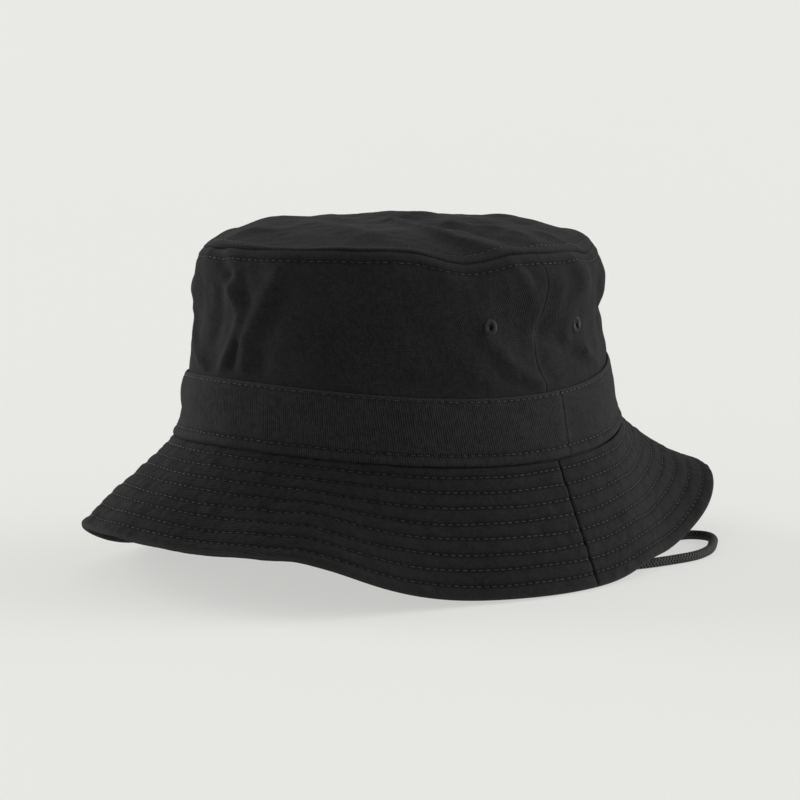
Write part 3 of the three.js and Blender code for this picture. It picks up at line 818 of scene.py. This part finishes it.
print("wall folds:", len(WALL_FOLDS), " tip seam sags", round(float(sag_line.max()), 1), "mm at most")

# %% [markdown]
# ## The two wall panels
# The wall is cut in two, front and back, and sewn at the ears. Where two panels are joined, their edges
# turn in and the cloth rolls down into the seam, so each panel's outside drops a little beside it. The
# panels are built apart, as in the real hat. The squares of cloth inside each eyelet are left out.

# %% Wall panels
WALL_RADIUS = 92.0
EYELET_LEVEL = {"front": 53.0, "back": 49.5}
EYELETS = {}
for node in ("eyelet_left_front", "eyelet_left_back", "eyelet_right_front", "eyelet_right_back"):
    low, high = (np.array(corner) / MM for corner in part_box(node))
    middle = (low + high) / 2
    angle = math.atan2(middle[1] / (BAND_TOP_HALF_WIDTH + LENGTH_EXTRA), middle[0] / BAND_TOP_HALF_WIDTH)
    EYELETS[node] = (angle, EYELET_LEVEL[node.split("_")[-1]])
PANELS = {"front": (math.pi, 2 * math.pi), "back": (0.0, math.pi)}
WALL_HEIGHTS = np.concatenate([np.linspace(0, 26, 9), np.linspace(27.2, 74, 52), np.linspace(74.6, 80, 14)])


def seam_distance(phi, radius):
    """Distance from the nearer side seam, at 0 and 180 degrees, along an arc of that radius."""
    return np.abs(np.sin(phi)) * radius


def wall_panel(end):
    """Rows of heights by columns of angles. The outside drops beside each seam, the inside stays."""
    start, stop = PANELS[end]
    phi, height = np.meshgrid(panel_angles(start, stop, 250, WALL_RADIUS), WALL_HEIGHTS)
    beside = seam_distance(phi, WALL_RADIUS)
    drop = 0.18 * bump(beside, 0.5) * smooth(height, 20, 27)
    outer = wall(phi, height, drop)
    inner = wall(phi, height, CLOTH)
    flat = np.stack([phi * WALL_RADIUS, height], -1)
    keep = np.ones((len(height) - 1, phi.shape[1] - 1), bool)
    middle = (outer[1:, 1:] + outer[:-1, :-1]) / 2
    for angle, level in EYELETS.values():
        centre = wall(np.array([angle]), np.array([level]), 0.0)[0]
        keep &= np.linalg.norm(middle - centre, axis=-1) > 1.7
    # Lighter where the wall rolls into the tip seam and fades, with a painted highlight on the cloth rolled
    # into each side seam; painted shade in the seam groove, the stitch channel and at the top edge under the
    # tip's roll.
    tone_and_painted_light = 0.5 * smooth(height, 77.5, 79.0) + 0.35 * bump(beside - 1.1, 0.7)
    tone_and_painted_light = tone_and_painted_light - 0.30 * bump(beside, 0.45)
    tone_and_painted_light = tone_and_painted_light - 0.5 * bump(height - WALL_ROW, 0.6) - 0.3 * smooth(height, 79.5, 80)
    return shell(outer, inner, flat, tone_and_painted_light, keep)


for end in PANELS:
    put(f"wall_{end}", wall_panel(end), TWILL, [f"crown_wall_{end}"])

# %% [markdown]
# ## The tip
# The oval tip lies over the head like a slack drum. It is built in rings from its middle out to its seam.
# Its height is a flat-topped pillow; ridges run in from the places where the seam has sunk. Just inside the
# seam the layers beneath lift it, and at the seam it rolls down to meet the wall.

# %% Tip
TIP_EDGE = WALL_PROFILE[-1][0] + 0.4
TIP_REACH = TIP_EDGE + LENGTH_EXTRA / 2
TIP_RISE = 7.5
TIP_COLUMNS = 420
TIP_FOLDS = [
    ([(6, -10), (30, -19), (51, -25), (72, -18)], 4.4, 1.9),
    ([(26, 6), (50, 12), (70, 8)], 6.0, 1.7),
    ([(34, -5), (66, -7)], 5.0, -2.0),
    ([(56, 28), (70, 36)], 5.0, 1.6),
    ([(-10, -70), (8, -84)], 7.0, -1.8),
    ([(-20, -34), (10, -48), (44, -54)], 7.0, 1.0),
    ([(-52, -26), (-34, -46), (-22, -66)], 8.0, 2.0),
    ([(-30, 30), (-10, 54), (14, 66)], 8.0, 1.1),
    ([(24, 44), (50, 38)], 7.0, -0.9),
    ([(-60, 10), (-38, 16), (-12, 6)], 8.0, 0.9),
]


def tip(phi, share, depth):
    """Rings of an oval by share of the way out: a pillow on the seam's tilt, with folds and a rolled edge."""
    x = TIP_EDGE * share * np.cos(phi)
    y = (TIP_EDGE + LENGTH_EXTRA) * share * np.sin(phi)
    plan = np.stack([x, y, 0 * x], -1)
    folds = 0.85 * swell(plan, 52, 11) + 0.42 * swell(plan, 19, 12) + 0.09 * swell(plan, 7, 13)
    for path, width, rise in TIP_FOLDS:
        degrees = [(a / MM_PER_DEGREE, b) for a, b in path]
        folds = folds + rise * bump(near(np.radians(x / MM_PER_DEGREE), y, degrees), width)
    rise = TIP_RISE * (1 - share**3.5)
    edge = (1 - share) * TIP_REACH
    layers = 0.45 * smooth(edge, 5.2, 3.6) - 0.30 * bump(edge - TIP_ROW, 0.7)
    roll = 0.90 * (1 - np.sqrt(np.clip(1 - (1 - edge / 1.7).clip(0, 1) ** 2, 0, 1)))
    z = (
        TIP_SEAM_HEIGHT - TIP_TILT * share * np.sin(phi) + 0.85 + rise - depth
        + folds * (1 - 0.85 * share**5) + layers - roll - tip_sag(phi) * (0.25 * share**3 + 0.75 * share**9)
    )
    return np.stack([x, y, z], -1)


tip_rim = np.array([5.4, 4.9, 4.5, 4.1, 3.7, 3.2, 2.7, 2.2, 1.7, 1.2, 0.8, 0.45, 0.2, 0.0]) / 81
tip_shares = np.concatenate([np.linspace(0.01, 0.93, 74), 1 - tip_rim])
tip_phi, tip_share = np.meshgrid(2 * np.pi * np.arange(TIP_COLUMNS) / TIP_COLUMNS, tip_shares)
tip_outer, tip_inner = tip(tip_phi, tip_share, 0.0), tip(tip_phi, tip_share, CLOTH)
tip_flat = np.concatenate([tip_outer[..., :2], tip_outer[:, :1, :2]], 1)
tip_edge = (1 - tip_share) * TIP_REACH
# Lighter on the rolled edge, where it fades; painted shade in the stitch channel and where the edge turns
# into the seam.
tip_tone_and_painted_light = 0.5 * bump(tip_edge - 1.6, 1.2) - 0.5 * bump(tip_edge - TIP_ROW, 0.6)
tip_tone_and_painted_light = tip_tone_and_painted_light - 0.5 * smooth(tip_edge, 0.5, 0)
tip_form = shell(tip_outer, tip_inner, tip_flat, tip_tone_and_painted_light, wrapped=True, pole=True)
put("tip_cloth", tip_form, TWILL, ["crown_tip"])

# %% [markdown]
# ## The band
# A separate strip is sewn round the foot of the crown. Both long edges are turned under: the upper one is
# held by a row of stitches just below the fold, and below the lower row the turned edge stands out as a
# soft roll against the brim. Its ends meet in one upright joint at the wearer's left ear.

# %% Band
BAND_ROWS = (4.4, 25.6)
BAND_JOINT = math.radians(4.5)


def band(phi, height, depth):
    """The band's straight slope: a pressed line under each stitch row, a roll at the foot, a soft swell."""
    place = crown_point(phi, 86.0, height)
    out = 0.22 * swell(place, 38, 21) + 0.10 * swell(place, 12, 22) + 0.045 * swell(place, 4.5, 23)
    out = out * smooth(height, 0, 3) * smooth(height, 27, 24)
    out = out - 0.42 * bump(height - BAND_ROWS[1], 0.7) - 0.42 * bump(height - BAND_ROWS[0], 0.8)
    out = out + 0.42 * bump(height - 2.0, 1.7)
    turned = np.degrees(wrap(phi))
    out = out - 1.7 * bump(height - 9.5, 5.0) * (bump(turned + 137, 34) + 0.45 * bump(turned - 43, 24))
    out = out + 0.5 * bump(height - 22, 5.0) * bump(turned + 137, 34)
    return crown_point(phi, band_half_width(height) + out - depth, height)


band_heights = np.concatenate([
    [0, 0.25, 0.6, 1.1], np.linspace(1.8, 6.6, 12), np.linspace(7.6, 22.6, 14), np.linspace(23.2, 26.2, 8),
    [26.5, 26.75, 26.92, 27.0],
])
band_angles = panel_angles(BAND_JOINT, BAND_JOINT + 2 * math.pi, 520, HEAD_HALF_WIDTH)
band_phi, band_height = np.meshgrid(band_angles, band_heights)
joint_distance = np.abs(np.sin((band_phi - BAND_JOINT) / 2)) * 2 * HEAD_HALF_WIDTH
joint = 0.32 * bump(joint_distance, 0.6)
fold_over = 0.55 * (bump(band_height, 0.55) + bump(band_height - 27.0, 0.5))
band_outer = band(band_phi, band_height, joint + fold_over)
band_inner = band(band_phi, band_height, CLOTH)
# Lighter on the top fold and the foot roll, where they fade, with a painted highlight on the folded cloth
# beside the joint; painted shade in both stitch channels.
band_tone_and_painted_light = 0.6 * bump(band_height - 26.7, 0.7) + 0.12 * bump(band_height - 2.0, 1.3)
band_tone_and_painted_light = band_tone_and_painted_light + 0.4 * bump(joint_distance - 1.6, 1.0)
band_tone_and_painted_light = band_tone_and_painted_light - 0.6 * bump(band_height - BAND_ROWS[0], 0.6)
band_tone_and_painted_light = band_tone_and_painted_light - 0.5 * bump(band_height - BAND_ROWS[1], 0.4)
band_flat = np.stack([band_phi * WALL_RADIUS, band_height], -1)
put("band_cloth", shell(band_outer, band_inner, band_flat, band_tone_and_painted_light), TWILL_BAND, ["hat_band"])

# %% [markdown]
# ## The brim
# The brim is two layers of twill with a stiffener between, in a front and a back half. It droops steeply
# over the ears and is turned up at the front and back. Eight rows of stitches run round it, and between
# them the cloth stands up in low pillows. At its edge the layers are turned in and meet in a rolled hem.
# Its shape is a straight slope at each angle, which a displacement map could not give, and its quilting is
# added along the slope's own normal.

# %% Brim shape
BRIM_START = 88.0
BRIM_WIDTH = 53.5
BRIM_LINES = 3.0 + 6.43 * np.arange(8)
BRIM_RADIUS = 105.0
FLAT_RADIUS = 118


def line_wander(phi, number):
    """How far a hand-guided stitch row strays from its true distance: three slow waves round the brim."""
    random = np.random.default_rng(40 + number)
    a, b, c = random.uniform(0, 2 * np.pi, 3)
    return 0.20 * np.sin(3 * phi + a) + 0.14 * np.sin(8 * phi + b) + 0.10 * np.sin(17 * phi + c)


def brim(phi, out, above):
    """A straight slope out from the head line, drooping by an angle that changes round the head."""
    half_length = BRIM_START + LENGTH_EXTRA
    cos, sin = np.cos(phi), np.sin(phi)
    away = unit(np.stack([half_length * cos, BRIM_START * sin, 0 * cos], -1))
    ends = 35.5 - 2.8 * sin
    angle = np.radians(ends + (66 - ends) * smooth(np.abs(cos), 0.42, 0.9))
    plan = np.stack([(BRIM_START + out) * cos, (half_length + out) * sin, 0 * cos], -1)
    wave = (0.8 * swell(plan, 70, 31) + 0.22 * swell(plan, 21, 32)) * smooth(out, 4, 40)
    wave = wave * (1 - 0.8 * smooth(np.abs(cos), 0.55, 0.85))
    turned = np.degrees(wrap(phi))
    arch = np.sin(np.pi * np.clip(out / BRIM_WIDTH, 0, 1))
    flare = bump(turned - 55, 21)
    wave = wave - 3.6 * arch * flare + 1.9 * arch * bump(turned + 137, 26)
    reach = out + 4.4 * flare * np.clip(out / BRIM_WIDTH, 0, 1.05) ** 1.4
    above = above + wave
    start = np.stack([BRIM_START * cos, half_length * sin, head_wave(phi) - 1.8], -1)
    point = start + away * (reach * np.cos(angle) + above * np.sin(angle))[..., None]
    over_cord = 2.7 * bump(turned - 21, 10)
    point[..., 2] += above * np.cos(angle) - out * np.sin(angle) + over_cord * out / BRIM_WIDTH
    return point


def quilt(phi, out):
    """Pillows between the stitch rows: pressed down at each row, puckered beside it, swollen between."""
    plan = np.stack([(BRIM_START + out) * np.cos(phi), (BRIM_START + out) * np.sin(phi), 0 * phi], -1)
    pressed = np.zeros(np.shape(phi))
    for number, line in enumerate(BRIM_LINES):
        pressed += bump(out - line - line_wander(phi, number), 1.0)
    pucker = 0.12 * swell(plan, 4.6, 35) + 0.15 * swell(plan, 11.0, 36)
    return 0.20 - 0.46 * pressed + pucker * (0.35 + 0.65 * np.clip(1 - pressed, 0, 1))


HEM = 51.9
HEM_TURN = 2
brim_outs = np.concatenate([
    np.linspace(-0.8, 47, 63), np.linspace(47.6, HEM, 9),
    HEM + np.array([0.16, 0.34, 0.52, 0.68, 0.82, 0.92, 1.0]) * HEM_TURN,
])


def brim_layer(end, side):
    """One cloth of the brim: side is 1 for the top and -1 for the lining. Past the hem it curls in."""
    start, stop = PANELS[end]
    phi, run = np.meshgrid(panel_angles(start, stop, 400, BRIM_RADIUS, -0.04), brim_outs)
    beside = seam_distance(phi, BRIM_RADIUS)
    turn = np.clip((run - HEM) / HEM_TURN, 0, 1) * math.pi / 2
    out = np.minimum(run, HEM)
    drop = 0.62 * bump(beside, 0.8)
    puff = quilt(phi, run) * np.cos(turn) - drop
    swollen = 0.30 * bump(run - 51.2, 1.6)
    outer_above = side * (0.06 + (1.24 + puff + swollen) * np.cos(turn))
    inner_above = side * (0.06 + (0.44 + 0.4 * puff) * np.cos(turn))
    outer = brim(phi, out + 1.65 * np.sin(turn), outer_above)
    inner = brim(phi, out + 0.8 * np.sin(turn), inner_above)
    bend = 0.86 * (phi - (start + stop) / 2)
    flat = np.stack([(FLAT_RADIUS + run) * np.cos(bend), (FLAT_RADIUS + run) * np.sin(bend)], -1)
    # Lighter towards the hem, where it fades, with a painted highlight beside the seam; painted shade in each
    # stitch channel and in the seam groove.
    tone_and_painted_light = 0.85 * bump(run - 53.4, 0.9) + 0.16 * smooth(run, 46, 52) + 0.3 * bump(beside - 1.2, 0.6)
    for number, line in enumerate(BRIM_LINES):
        tone_and_painted_light = tone_and_painted_light - 0.8 * bump(run - line - line_wander(phi, number), 0.8)
    tone_and_painted_light = tone_and_painted_light - 1.2 * bump(beside, 0.5)
    return shell(outer, inner, flat, tone_and_painted_light)


for end in PANELS:
    put(f"brim_upper_{end}", brim_layer(end, 1), TWILL_BRIM, [f"brim_top_{end}"])
    put(f"brim_under_{end}", brim_layer(end, -1), TWILL_BRIM, [f"brim_lining_{end}"])
    start, stop = PANELS[end]
    phi, run = np.meshgrid(panel_angles(start, stop, 120, BRIM_RADIUS, 0.02), np.linspace(4, 49, 16))
    felt = shell(brim(phi, run, 0.16), brim(phi, run, -0.16), np.stack([phi * FLAT_RADIUS, run], -1))
    put(f"brim_stiffener_{end}", felt, FELT, [f"brim_interlining_{end}"])

# %% [markdown]
# ## Stitches
# A lockstitch shows as a short raised dash and then a gap where the thread dives through the cloth. A bump
# map would lose the glint on each thread, so every stitch is a small real capsule: five rings of six
# points, fatter in the middle, sunk at both ends. Rows are traced on the same surface functions as the
# cloth, so each stitch sits in its own channel.

# %% Stitch maker
STITCH_RINGS = 5
STITCH_SIDES = 6
STITCH_POINTS = STITCH_RINGS * STITCH_SIDES


def surface_normal(surface, a, b):
    """The cross product of two small steps along the surface, one in each of its two numbers."""
    step_a = surface(a + 1e-3, b) - surface(a - 1e-3, b)
    step_b = surface(a, b + 1e-2) - surface(a, b - 1e-2)
    return unit(np.cross(step_a, step_b))


def stitch_row(surface, a, b, pitch=3.35, length=2.3, radius=0.20, lift=0.08, flip=1.0, seed=1):
    """Stitches of even pitch along the line (a, b) on a surface; each is bowed up between its two ends."""
    line = surface(a, b)
    along = np.append(0, np.cumsum(np.linalg.norm(np.diff(line, axis=0), axis=1)))
    count = max(1, int(along[-1] / pitch))
    random = np.random.default_rng(seed)
    start = (np.arange(count) + 0.15 + random.uniform(-0.05, 0.05, count)) * along[-1] / count
    share = np.linspace(0, 1, STITCH_RINGS)
    place = start[:, None] + share * length * random.uniform(0.92, 1.06, count)[:, None]
    at_a, at_b = np.interp(place, along, a), np.interp(place, along, b)
    normal = surface_normal(surface, at_a, at_b) * flip
    bow = np.array([-1.3, 0.55, 1.0, 0.55, -1.3]) * lift + radius * 0.25
    centre = surface(at_a, at_b) + normal * bow[None, :, None]
    forward = unit(np.gradient(centre, axis=1))
    side = unit(np.cross(normal, forward))
    angle = 2 * np.pi * np.arange(STITCH_SIDES) / STITCH_SIDES
    size = radius * np.array([0.62, 0.95, 1.08, 0.95, 0.62])
    ring = side[:, :, None] * np.cos(angle)[:, None] + normal[:, :, None] * np.sin(angle)[:, None]
    points = centre[:, :, None] + ring * size[:, None, None]
    return points.reshape(-1, 3), count


def stitching(name, rows):
    """All rows of one seam as one piece of thread. Each stitch is a short tube with two closed ends."""
    points = np.concatenate([row for row, _ in rows])
    count = sum(number for _, number in rows)
    quads = tube_quads(STITCH_RINGS, STITCH_SIDES)[2]
    ends = tube_ends(STITCH_RINGS, STITCH_SIDES)
    shift = STITCH_POINTS * np.arange(count)[:, None, None]
    tone = np.repeat(np.random.default_rng(count).uniform(0, 1, count), STITCH_POINTS)
    faces = [(quads + shift).reshape(-1, 4), (ends + shift).reshape(-1, STITCH_SIDES)]
    first = points[:STITCH_POINTS]
    if inside_out(first - first.mean(0), quads):
        faces = [face[:, ::-1] for face in faces]
    print(name, "has", count, "stitches")
    return put(name, {"points": points, "faces": faces, "tone_and_painted_light": tone}, THREAD)


# %% Stitch rows
HALF_TURN = {end: np.linspace(start + 0.004, stop - 0.004, 900) for end, (start, stop) in PANELS.items()}


def brim_upper(phi, out):
    """The brim's upper face, with its quilting."""
    return brim(phi, out, 1.30 + quilt(phi, out))


def brim_under(phi, out):
    """The brim's lower face, with its quilting."""
    return brim(phi, out, -1.30 - quilt(phi, out))


for end, angles in HALF_TURN.items():
    for face, surface, flip in (("upper", brim_upper, -1.0), ("under", brim_under, 1.0)):
        rows = [
            stitch_row(surface, angles, line + line_wander(angles, number), flip=flip, seed=number)
            for number, line in enumerate(BRIM_LINES)
        ]
        stitching(f"brim_stitches_{face}_{end}", rows)

ROW_STEPS = 1800
full_turn = np.linspace(0.006, 2 * math.pi - 0.006, ROW_STEPS)


def row_round(surface, depth, level, **style):
    """A row of stitches all the way round, at one level and depth of a surface."""
    return stitch_row(lambda a, b: surface(a, b, depth), full_turn, np.full(ROW_STEPS, level), **style)


stitching("band_stitches", [row_round(band, 0.0, level, pitch=3.2, seed=60) for level in BAND_ROWS])
stitching("tip_seam_stitches", [
    row_round(wall, 0.0, WALL_ROW, pitch=3.3, seed=70),
    row_round(tip, 0.0, 1 - TIP_ROW / TIP_REACH, pitch=3.3, flip=-1.0, seed=71),
])

# %% [markdown]
# ## Eyelets
# Four small airholes are worked like buttonholes: thread is wound closely over the cloth's edge, which
# leaves a raised ring of radial stitches and a dark hole. A ring with a rounded section is carried round
# the hole, and its radius swells and dips once for each wound stitch.

# %% Eyelets
RING_STITCHES = 26


def eyelet_ring(angle, level):
    """A rounded section carried round the hole, through the cloth, with one rib for each wound stitch."""
    centre = wall(np.array([angle]), np.array([level]), CLOTH / 2)[0]
    normal = surface_normal(lambda a, b: wall(a, b, CLOTH / 2), np.array([angle]), np.array([level]))[0]
    sideways = unit(np.cross([0.0, 0.0, 1.0], normal))
    upright = np.cross(normal, sideways)
    section = np.linspace(0, 2 * np.pi, 28, endpoint=False)
    turn = np.linspace(0, 2 * np.pi, RING_STITCHES * 6, endpoint=False)
    section, turn = np.meshgrid(section, turn)
    rib = 1 + 0.075 * np.sin(RING_STITCHES * turn) * (0.4 + 0.6 * np.abs(np.sin(section)))
    circle = np.stack([np.cos(turn), np.sin(turn), 0 * turn], -1)
    reach = 2.35 + 1.38 * np.cos(section) * rib + 0.06 * swell(circle * 4, 3, 81)
    proud = (CLOTH / 2 + 0.42) * np.sign(np.sin(section)) * np.abs(np.sin(section)) ** 0.55 * (rib**2)
    points = (
        centre + sideways * (reach * np.cos(turn))[..., None] + upright * (reach * np.sin(turn))[..., None]
        + normal * proud[..., None]
    )
    quads = tube_quads(*section.shape, closed=True)[2]
    points = points.reshape(-1, 3)
    return {"points": points, "faces": [quads[:, ::-1] if inside_out(points - centre, quads) else quads]}


for node, (angle, level) in EYELETS.items():
    put(f"{node}_ring", eyelet_ring(angle, level), EYELET_THREAD, [node])

# %% [markdown]
# ## Inside the crown
# Binding tape covers the raw edges of the tip seam and the two side seams. A cotton sweatband is turned up
# inside the head line, with a small blank woven label at the back. These strips follow the wall's own
# surface a little further in, so that they share its folds and never cut through it.

# %% Tapes, sweatband, label


def strip(surface, phi, height, near_depth, far_depth, wrapped, edge=0.35):
    """A strip between two depths of a surface, thinned towards its edges so that they look pressed."""
    grid_phi, grid_height = np.meshgrid(phi, height)
    rim = np.minimum(np.abs(grid_height - height[0]), np.abs(height[-1] - grid_height))
    thin = edge * bump(rim, 0.6)
    outer = surface(grid_phi, grid_height, near_depth + 0 * thin)
    inner = surface(grid_phi, grid_height, far_depth - thin)
    wide = np.append(phi, 2 * phi[-1] - phi[-2]) if wrapped else phi
    flat = np.stack(np.meshgrid(wide * 90.0, height), -1)
    return shell(outer, inner, flat, wrapped=wrapped)


def inner_wall(phi, height, depth):
    """The wall without its raised seam edge, for the strips inside it."""
    return wall(phi, height, depth, seam=False)


TAPE_NEAR = 1.4
TAPE_FAR = 2.1
around = 2 * np.pi * np.arange(400) / 400
tape_heights = np.concatenate([[69, 69.3, 69.8], np.linspace(70.5, 76.5, 9), [77.2, 77.7, 78]])
tip_tape = strip(inner_wall, around, tape_heights, TAPE_NEAR, TAPE_FAR, True)
put("tip_seam_binding", tip_tape, TAPE, ["tip_seam_tape"])
tape_rows = [row_round(inner_wall, TAPE_FAR, level, flip=-1.0, seed=90) for level in (70.6, 76.4)]
for name, middle in (("left", 0.0), ("right", math.pi)):
    half = 6.0 / 97.0
    phi = middle + np.linspace(-half, half, 15)
    heights = np.linspace(32, 67, 40)
    side_tape = strip(inner_wall, phi, heights, TAPE_NEAR, TAPE_FAR, False)
    put(f"side_binding_{name}", side_tape, TAPE, [f"side_seam_tape_{name}"])
    for sign in (-0.72, 0.72):
        tape_rows.append(stitch_row(
            lambda a, b: inner_wall(a, b, TAPE_FAR), np.full(200, middle + sign * half),
            np.linspace(33, 66, 200), flip=-1.0, seed=91,
        ))
stitching("tape_stitches", tape_rows)


def sweat(phi, height, depth):
    """The sweatband's slope, with a pressed line at each stitch row and slow waves along its free edge."""
    place = crown_point(phi, 84.0, height)
    loose = smooth(height, 6, 30) * (0.35 * swell(place, 40, 51) - 0.35) + 0.05 * swell(place, 6, 52)
    press = 0.25 * bump(height - 27.6, 0.8) + 0.25 * bump(height, 0.8)
    return crown_point(phi, band_half_width(height) + loose + press * (depth > 3.2) - depth, height)


sweat_heights = np.concatenate([[-3, -2.8, -2.4], np.linspace(-1.8, 28.4, 40), [29.2, 29.7, 30]])
SWEAT_FAR = 3.8
sweat_form = strip(sweat, around, sweat_heights, SWEAT_FAR - 1, SWEAT_FAR, True)
put("sweatband_cloth", sweat_form, SWEATBAND, ["sweatband"])
sweat_rows = [row_round(sweat, SWEAT_FAR, level, flip=-1.0, seed=95) for level in (0.0, 27.6)]
stitching("sweatband_stitches", sweat_rows)

label_half = 20 / 86.2
label_phi = math.pi / 2 + np.linspace(-label_half, label_half, 60)
label_heights = np.linspace(6, 24, 40)
label_form = strip(sweat, label_phi, label_heights, 4.15, 4.6, False, 0.15)
put("woven_label", label_form, LABEL, ["back_label"])
label_rows = []
for level in (7.0, 23.0):
    label_rows.append(stitch_row(
        lambda a, b: sweat(a, b, 4.6), np.linspace(label_phi[1], label_phi[-2], 200), np.full(200, level),
        pitch=2.4, length=1.7, radius=0.18, flip=-1.0, seed=96,
    ))
stitching("label_stitches", label_rows)

# %% [markdown]
# ## Cord tabs
# Each end of the cord is caught in a small folded tab of tape, sewn inside the sweatband over the ear. It
# is a soft block: a rounded box whose section narrows where it is sewn, so it looks squeezed by its
# stitches.

# %% Cord tabs
TAB_RINGS = 60
TAB_SIDES = 48


def cord_tab(node):
    """Rings of a rounded rectangle from bottom to top, pinched at its seam, with rounded ends."""
    low, high = (np.array(corner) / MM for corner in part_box(node))
    centre, half = (low + high) / 2, (high - low) / 2
    turn, level = np.meshgrid(2 * np.pi * np.arange(TAB_SIDES) / TAB_SIDES, np.linspace(-1, 1, TAB_RINGS))
    cos, sin = np.cos(turn), np.sin(turn)
    box = (np.abs(cos) ** 4.5 + np.abs(sin) ** 4.5) ** (-1 / 4.5)
    end = np.clip(1 - np.abs(level) ** 14, 0.02, 1) ** 0.5
    pinch = 1 - 0.16 * bump(level - 0.30, 0.10) - 0.06 * np.abs(sin) ** 6
    ply = 1 + 0.05 * np.cos(6 * np.pi * cos * box)
    x = centre[0] + half[0] * cos * box * end * pinch * 0.98
    y = centre[1] + half[1] * sin * box * end * 0.98 * np.where(np.abs(sin) > 0.9, ply, 1.0)
    z = centre[2] + half[2] * level * 0.995
    points = np.stack([x, y, z], -1).reshape(-1, 3)
    i, j, quads = tube_quads(TAB_RINGS, TAB_SIDES)
    corners = ((i, j), (i, j), (i + 1, j), (i + 1, j))
    flat = np.stack([np.stack([turn[0][b] * 4.6, a * 0.27], -1) for a, b in corners], 1)
    flat[:, 1:3, 0] += 0.6
    faces = [quads, tube_ends(TAB_RINGS, TAB_SIDES)]
    return {"points": points, "faces": faces, "flats": [flat, np.zeros((2, TAB_SIDES, 2))]}


for side in ("left", "right"):
    put(f"cord_tab_{side}_folded", cord_tab(f"cord_tab_{side}"), TAPE, [f"cord_tab_{side}"])

# %% [markdown]
# ## The cord lock
# A spring pushes a slotted button against the two strands inside a small moulded housing. The solid model
# already has the right shapes, so its own housing and button stay; they only get their edges rounded, as
# moulded parts have, and a plastic finish. The spring is wound afresh from round wire, finer than the solid
# one.

# %% Lock
for node, finish in (("cord_lock_body", LOCK_PLASTIC), ("cord_lock_plunger", BUTTON_PLASTIC)):
    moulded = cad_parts[node]
    weld = moulded.modifiers.new("join_corners", "WELD")
    weld.merge_threshold = 0.00001
    rounding = moulded.modifiers.new("rounding", "BEVEL")
    rounding.width = 0.0004
    rounding.segments = 3
    rounding.limit_method = "ANGLE"
    rounding.angle_limit = math.radians(35)
    if not moulded.material_slots:
        moulded.data.materials.append(finish)
    for place in moulded.material_slots:
        place.material = finish

spring_low, spring_high = (np.array(corner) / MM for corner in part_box("cord_lock_spring"))
WIRE = 0.25
COIL_RADIUS = 2.4
turns = np.linspace(0, 1, 200)
spring_line = np.stack([
    spring_low[0] + WIRE + (spring_high[0] - spring_low[0] - 2 * WIRE) * turns,
    (spring_low[1] + spring_high[1]) / 2 + COIL_RADIUS * np.cos(5 * np.pi * turns),
    (spring_low[2] + spring_high[2]) / 2 + COIL_RADIUS * np.sin(5 * np.pi * turns),
], -1)
spring_form = tube(spring_line, np.full((len(turns), 10), WIRE), np.arange(11.0), turns * 40)
spring = put("lock_spring_wire", spring_form, STEEL, ["cord_lock_spring"], body="cord_lock")
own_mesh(spring)

# %% [markdown]
# ## Floor and light
# The hat stands on a pale sheet that glows a little, like a light table, which keeps its shadows faint.
# Black cloth shows almost nothing under flat light, so two wide low suns, at the right and the left, bring
# out its ribs and its two sides. A weak one in front and a faint one overhead fill in, with a weak even
# sky. Suns light the whole sheet evenly, where a lamp near by would leave a bright pool on it.

# %% Floor and light


def make_floor():
    """A pale matt sheet with the faintest unevenness."""
    finish = Finish("floor_paper")
    cloud = finish.noise(finish.place(), 1.3, 2.0)
    colour = finish.blend(cloud, (0.225, 0.225, 0.218, 1.0), (0.235, 0.235, 0.228, 1.0))
    glow = dict(Emission_Color=(1.0, 1.0, 0.975, 1.0), Emission_Strength=0.55)
    return finish.done(cloud, 0.00001, Base_Color=colour, Roughness=0.9, Specular_IOR_Level=0.1, **glow)


floor_mesh = bpy.data.meshes.new("floor")
reach = 14.0
corners = [(x * reach, y * reach, FLOOR * MM) for x, y in ((-1, -1), (1, -1), (1, 1), (-1, 1))]
floor_mesh.from_pydata(corners, [], [(0, 1, 2, 3)])
floor_mesh.materials.append(make_floor())
floor = bpy.data.objects.new("floor", floor_mesh)
bpy.context.collection.objects.link(floor)


def soft_sun(name, bearing, height, strength, spread):
    """A far soft light, by its bearing round from the camera and its height above level, in degrees."""
    turn, lift = math.radians(bearing), math.radians(height)
    towards = unit(np.array([BACKWARDS[0], BACKWARDS[1], 0.0]))
    level = towards * math.cos(turn) + SIDEWAYS * math.sin(turn)
    place = Vector(level * math.cos(lift) + np.array([0, 0, math.sin(lift)]))
    light = bpy.data.objects.new(name, bpy.data.lights.new(name, "SUN"))
    light.data.energy = strength
    light.data.angle = math.radians(spread)
    light.location = place * 2
    light.rotation_euler = (-place).to_track_quat("-Z", "Y").to_euler()
    bpy.context.collection.objects.link(light)


soft_sun("overhead", 180, 68, 0.10, 90)
soft_sun("right_box", 104, 10, 4.1, 60)
soft_sun("left_box", -117, 9, 3.3, 60)
soft_sun("front_fill", -40, 11, 0.80, 80)
world = bpy.data.worlds.new("studio")
world.use_nodes = True
world.node_tree.nodes["Background"].inputs["Color"].default_value = (1.0, 1.0, 0.985, 1.0)
world.node_tree.nodes["Background"].inputs["Strength"].default_value = 0.45
bpy.context.scene.world = world
bpy.context.scene.view_settings.view_transform = "Standard"
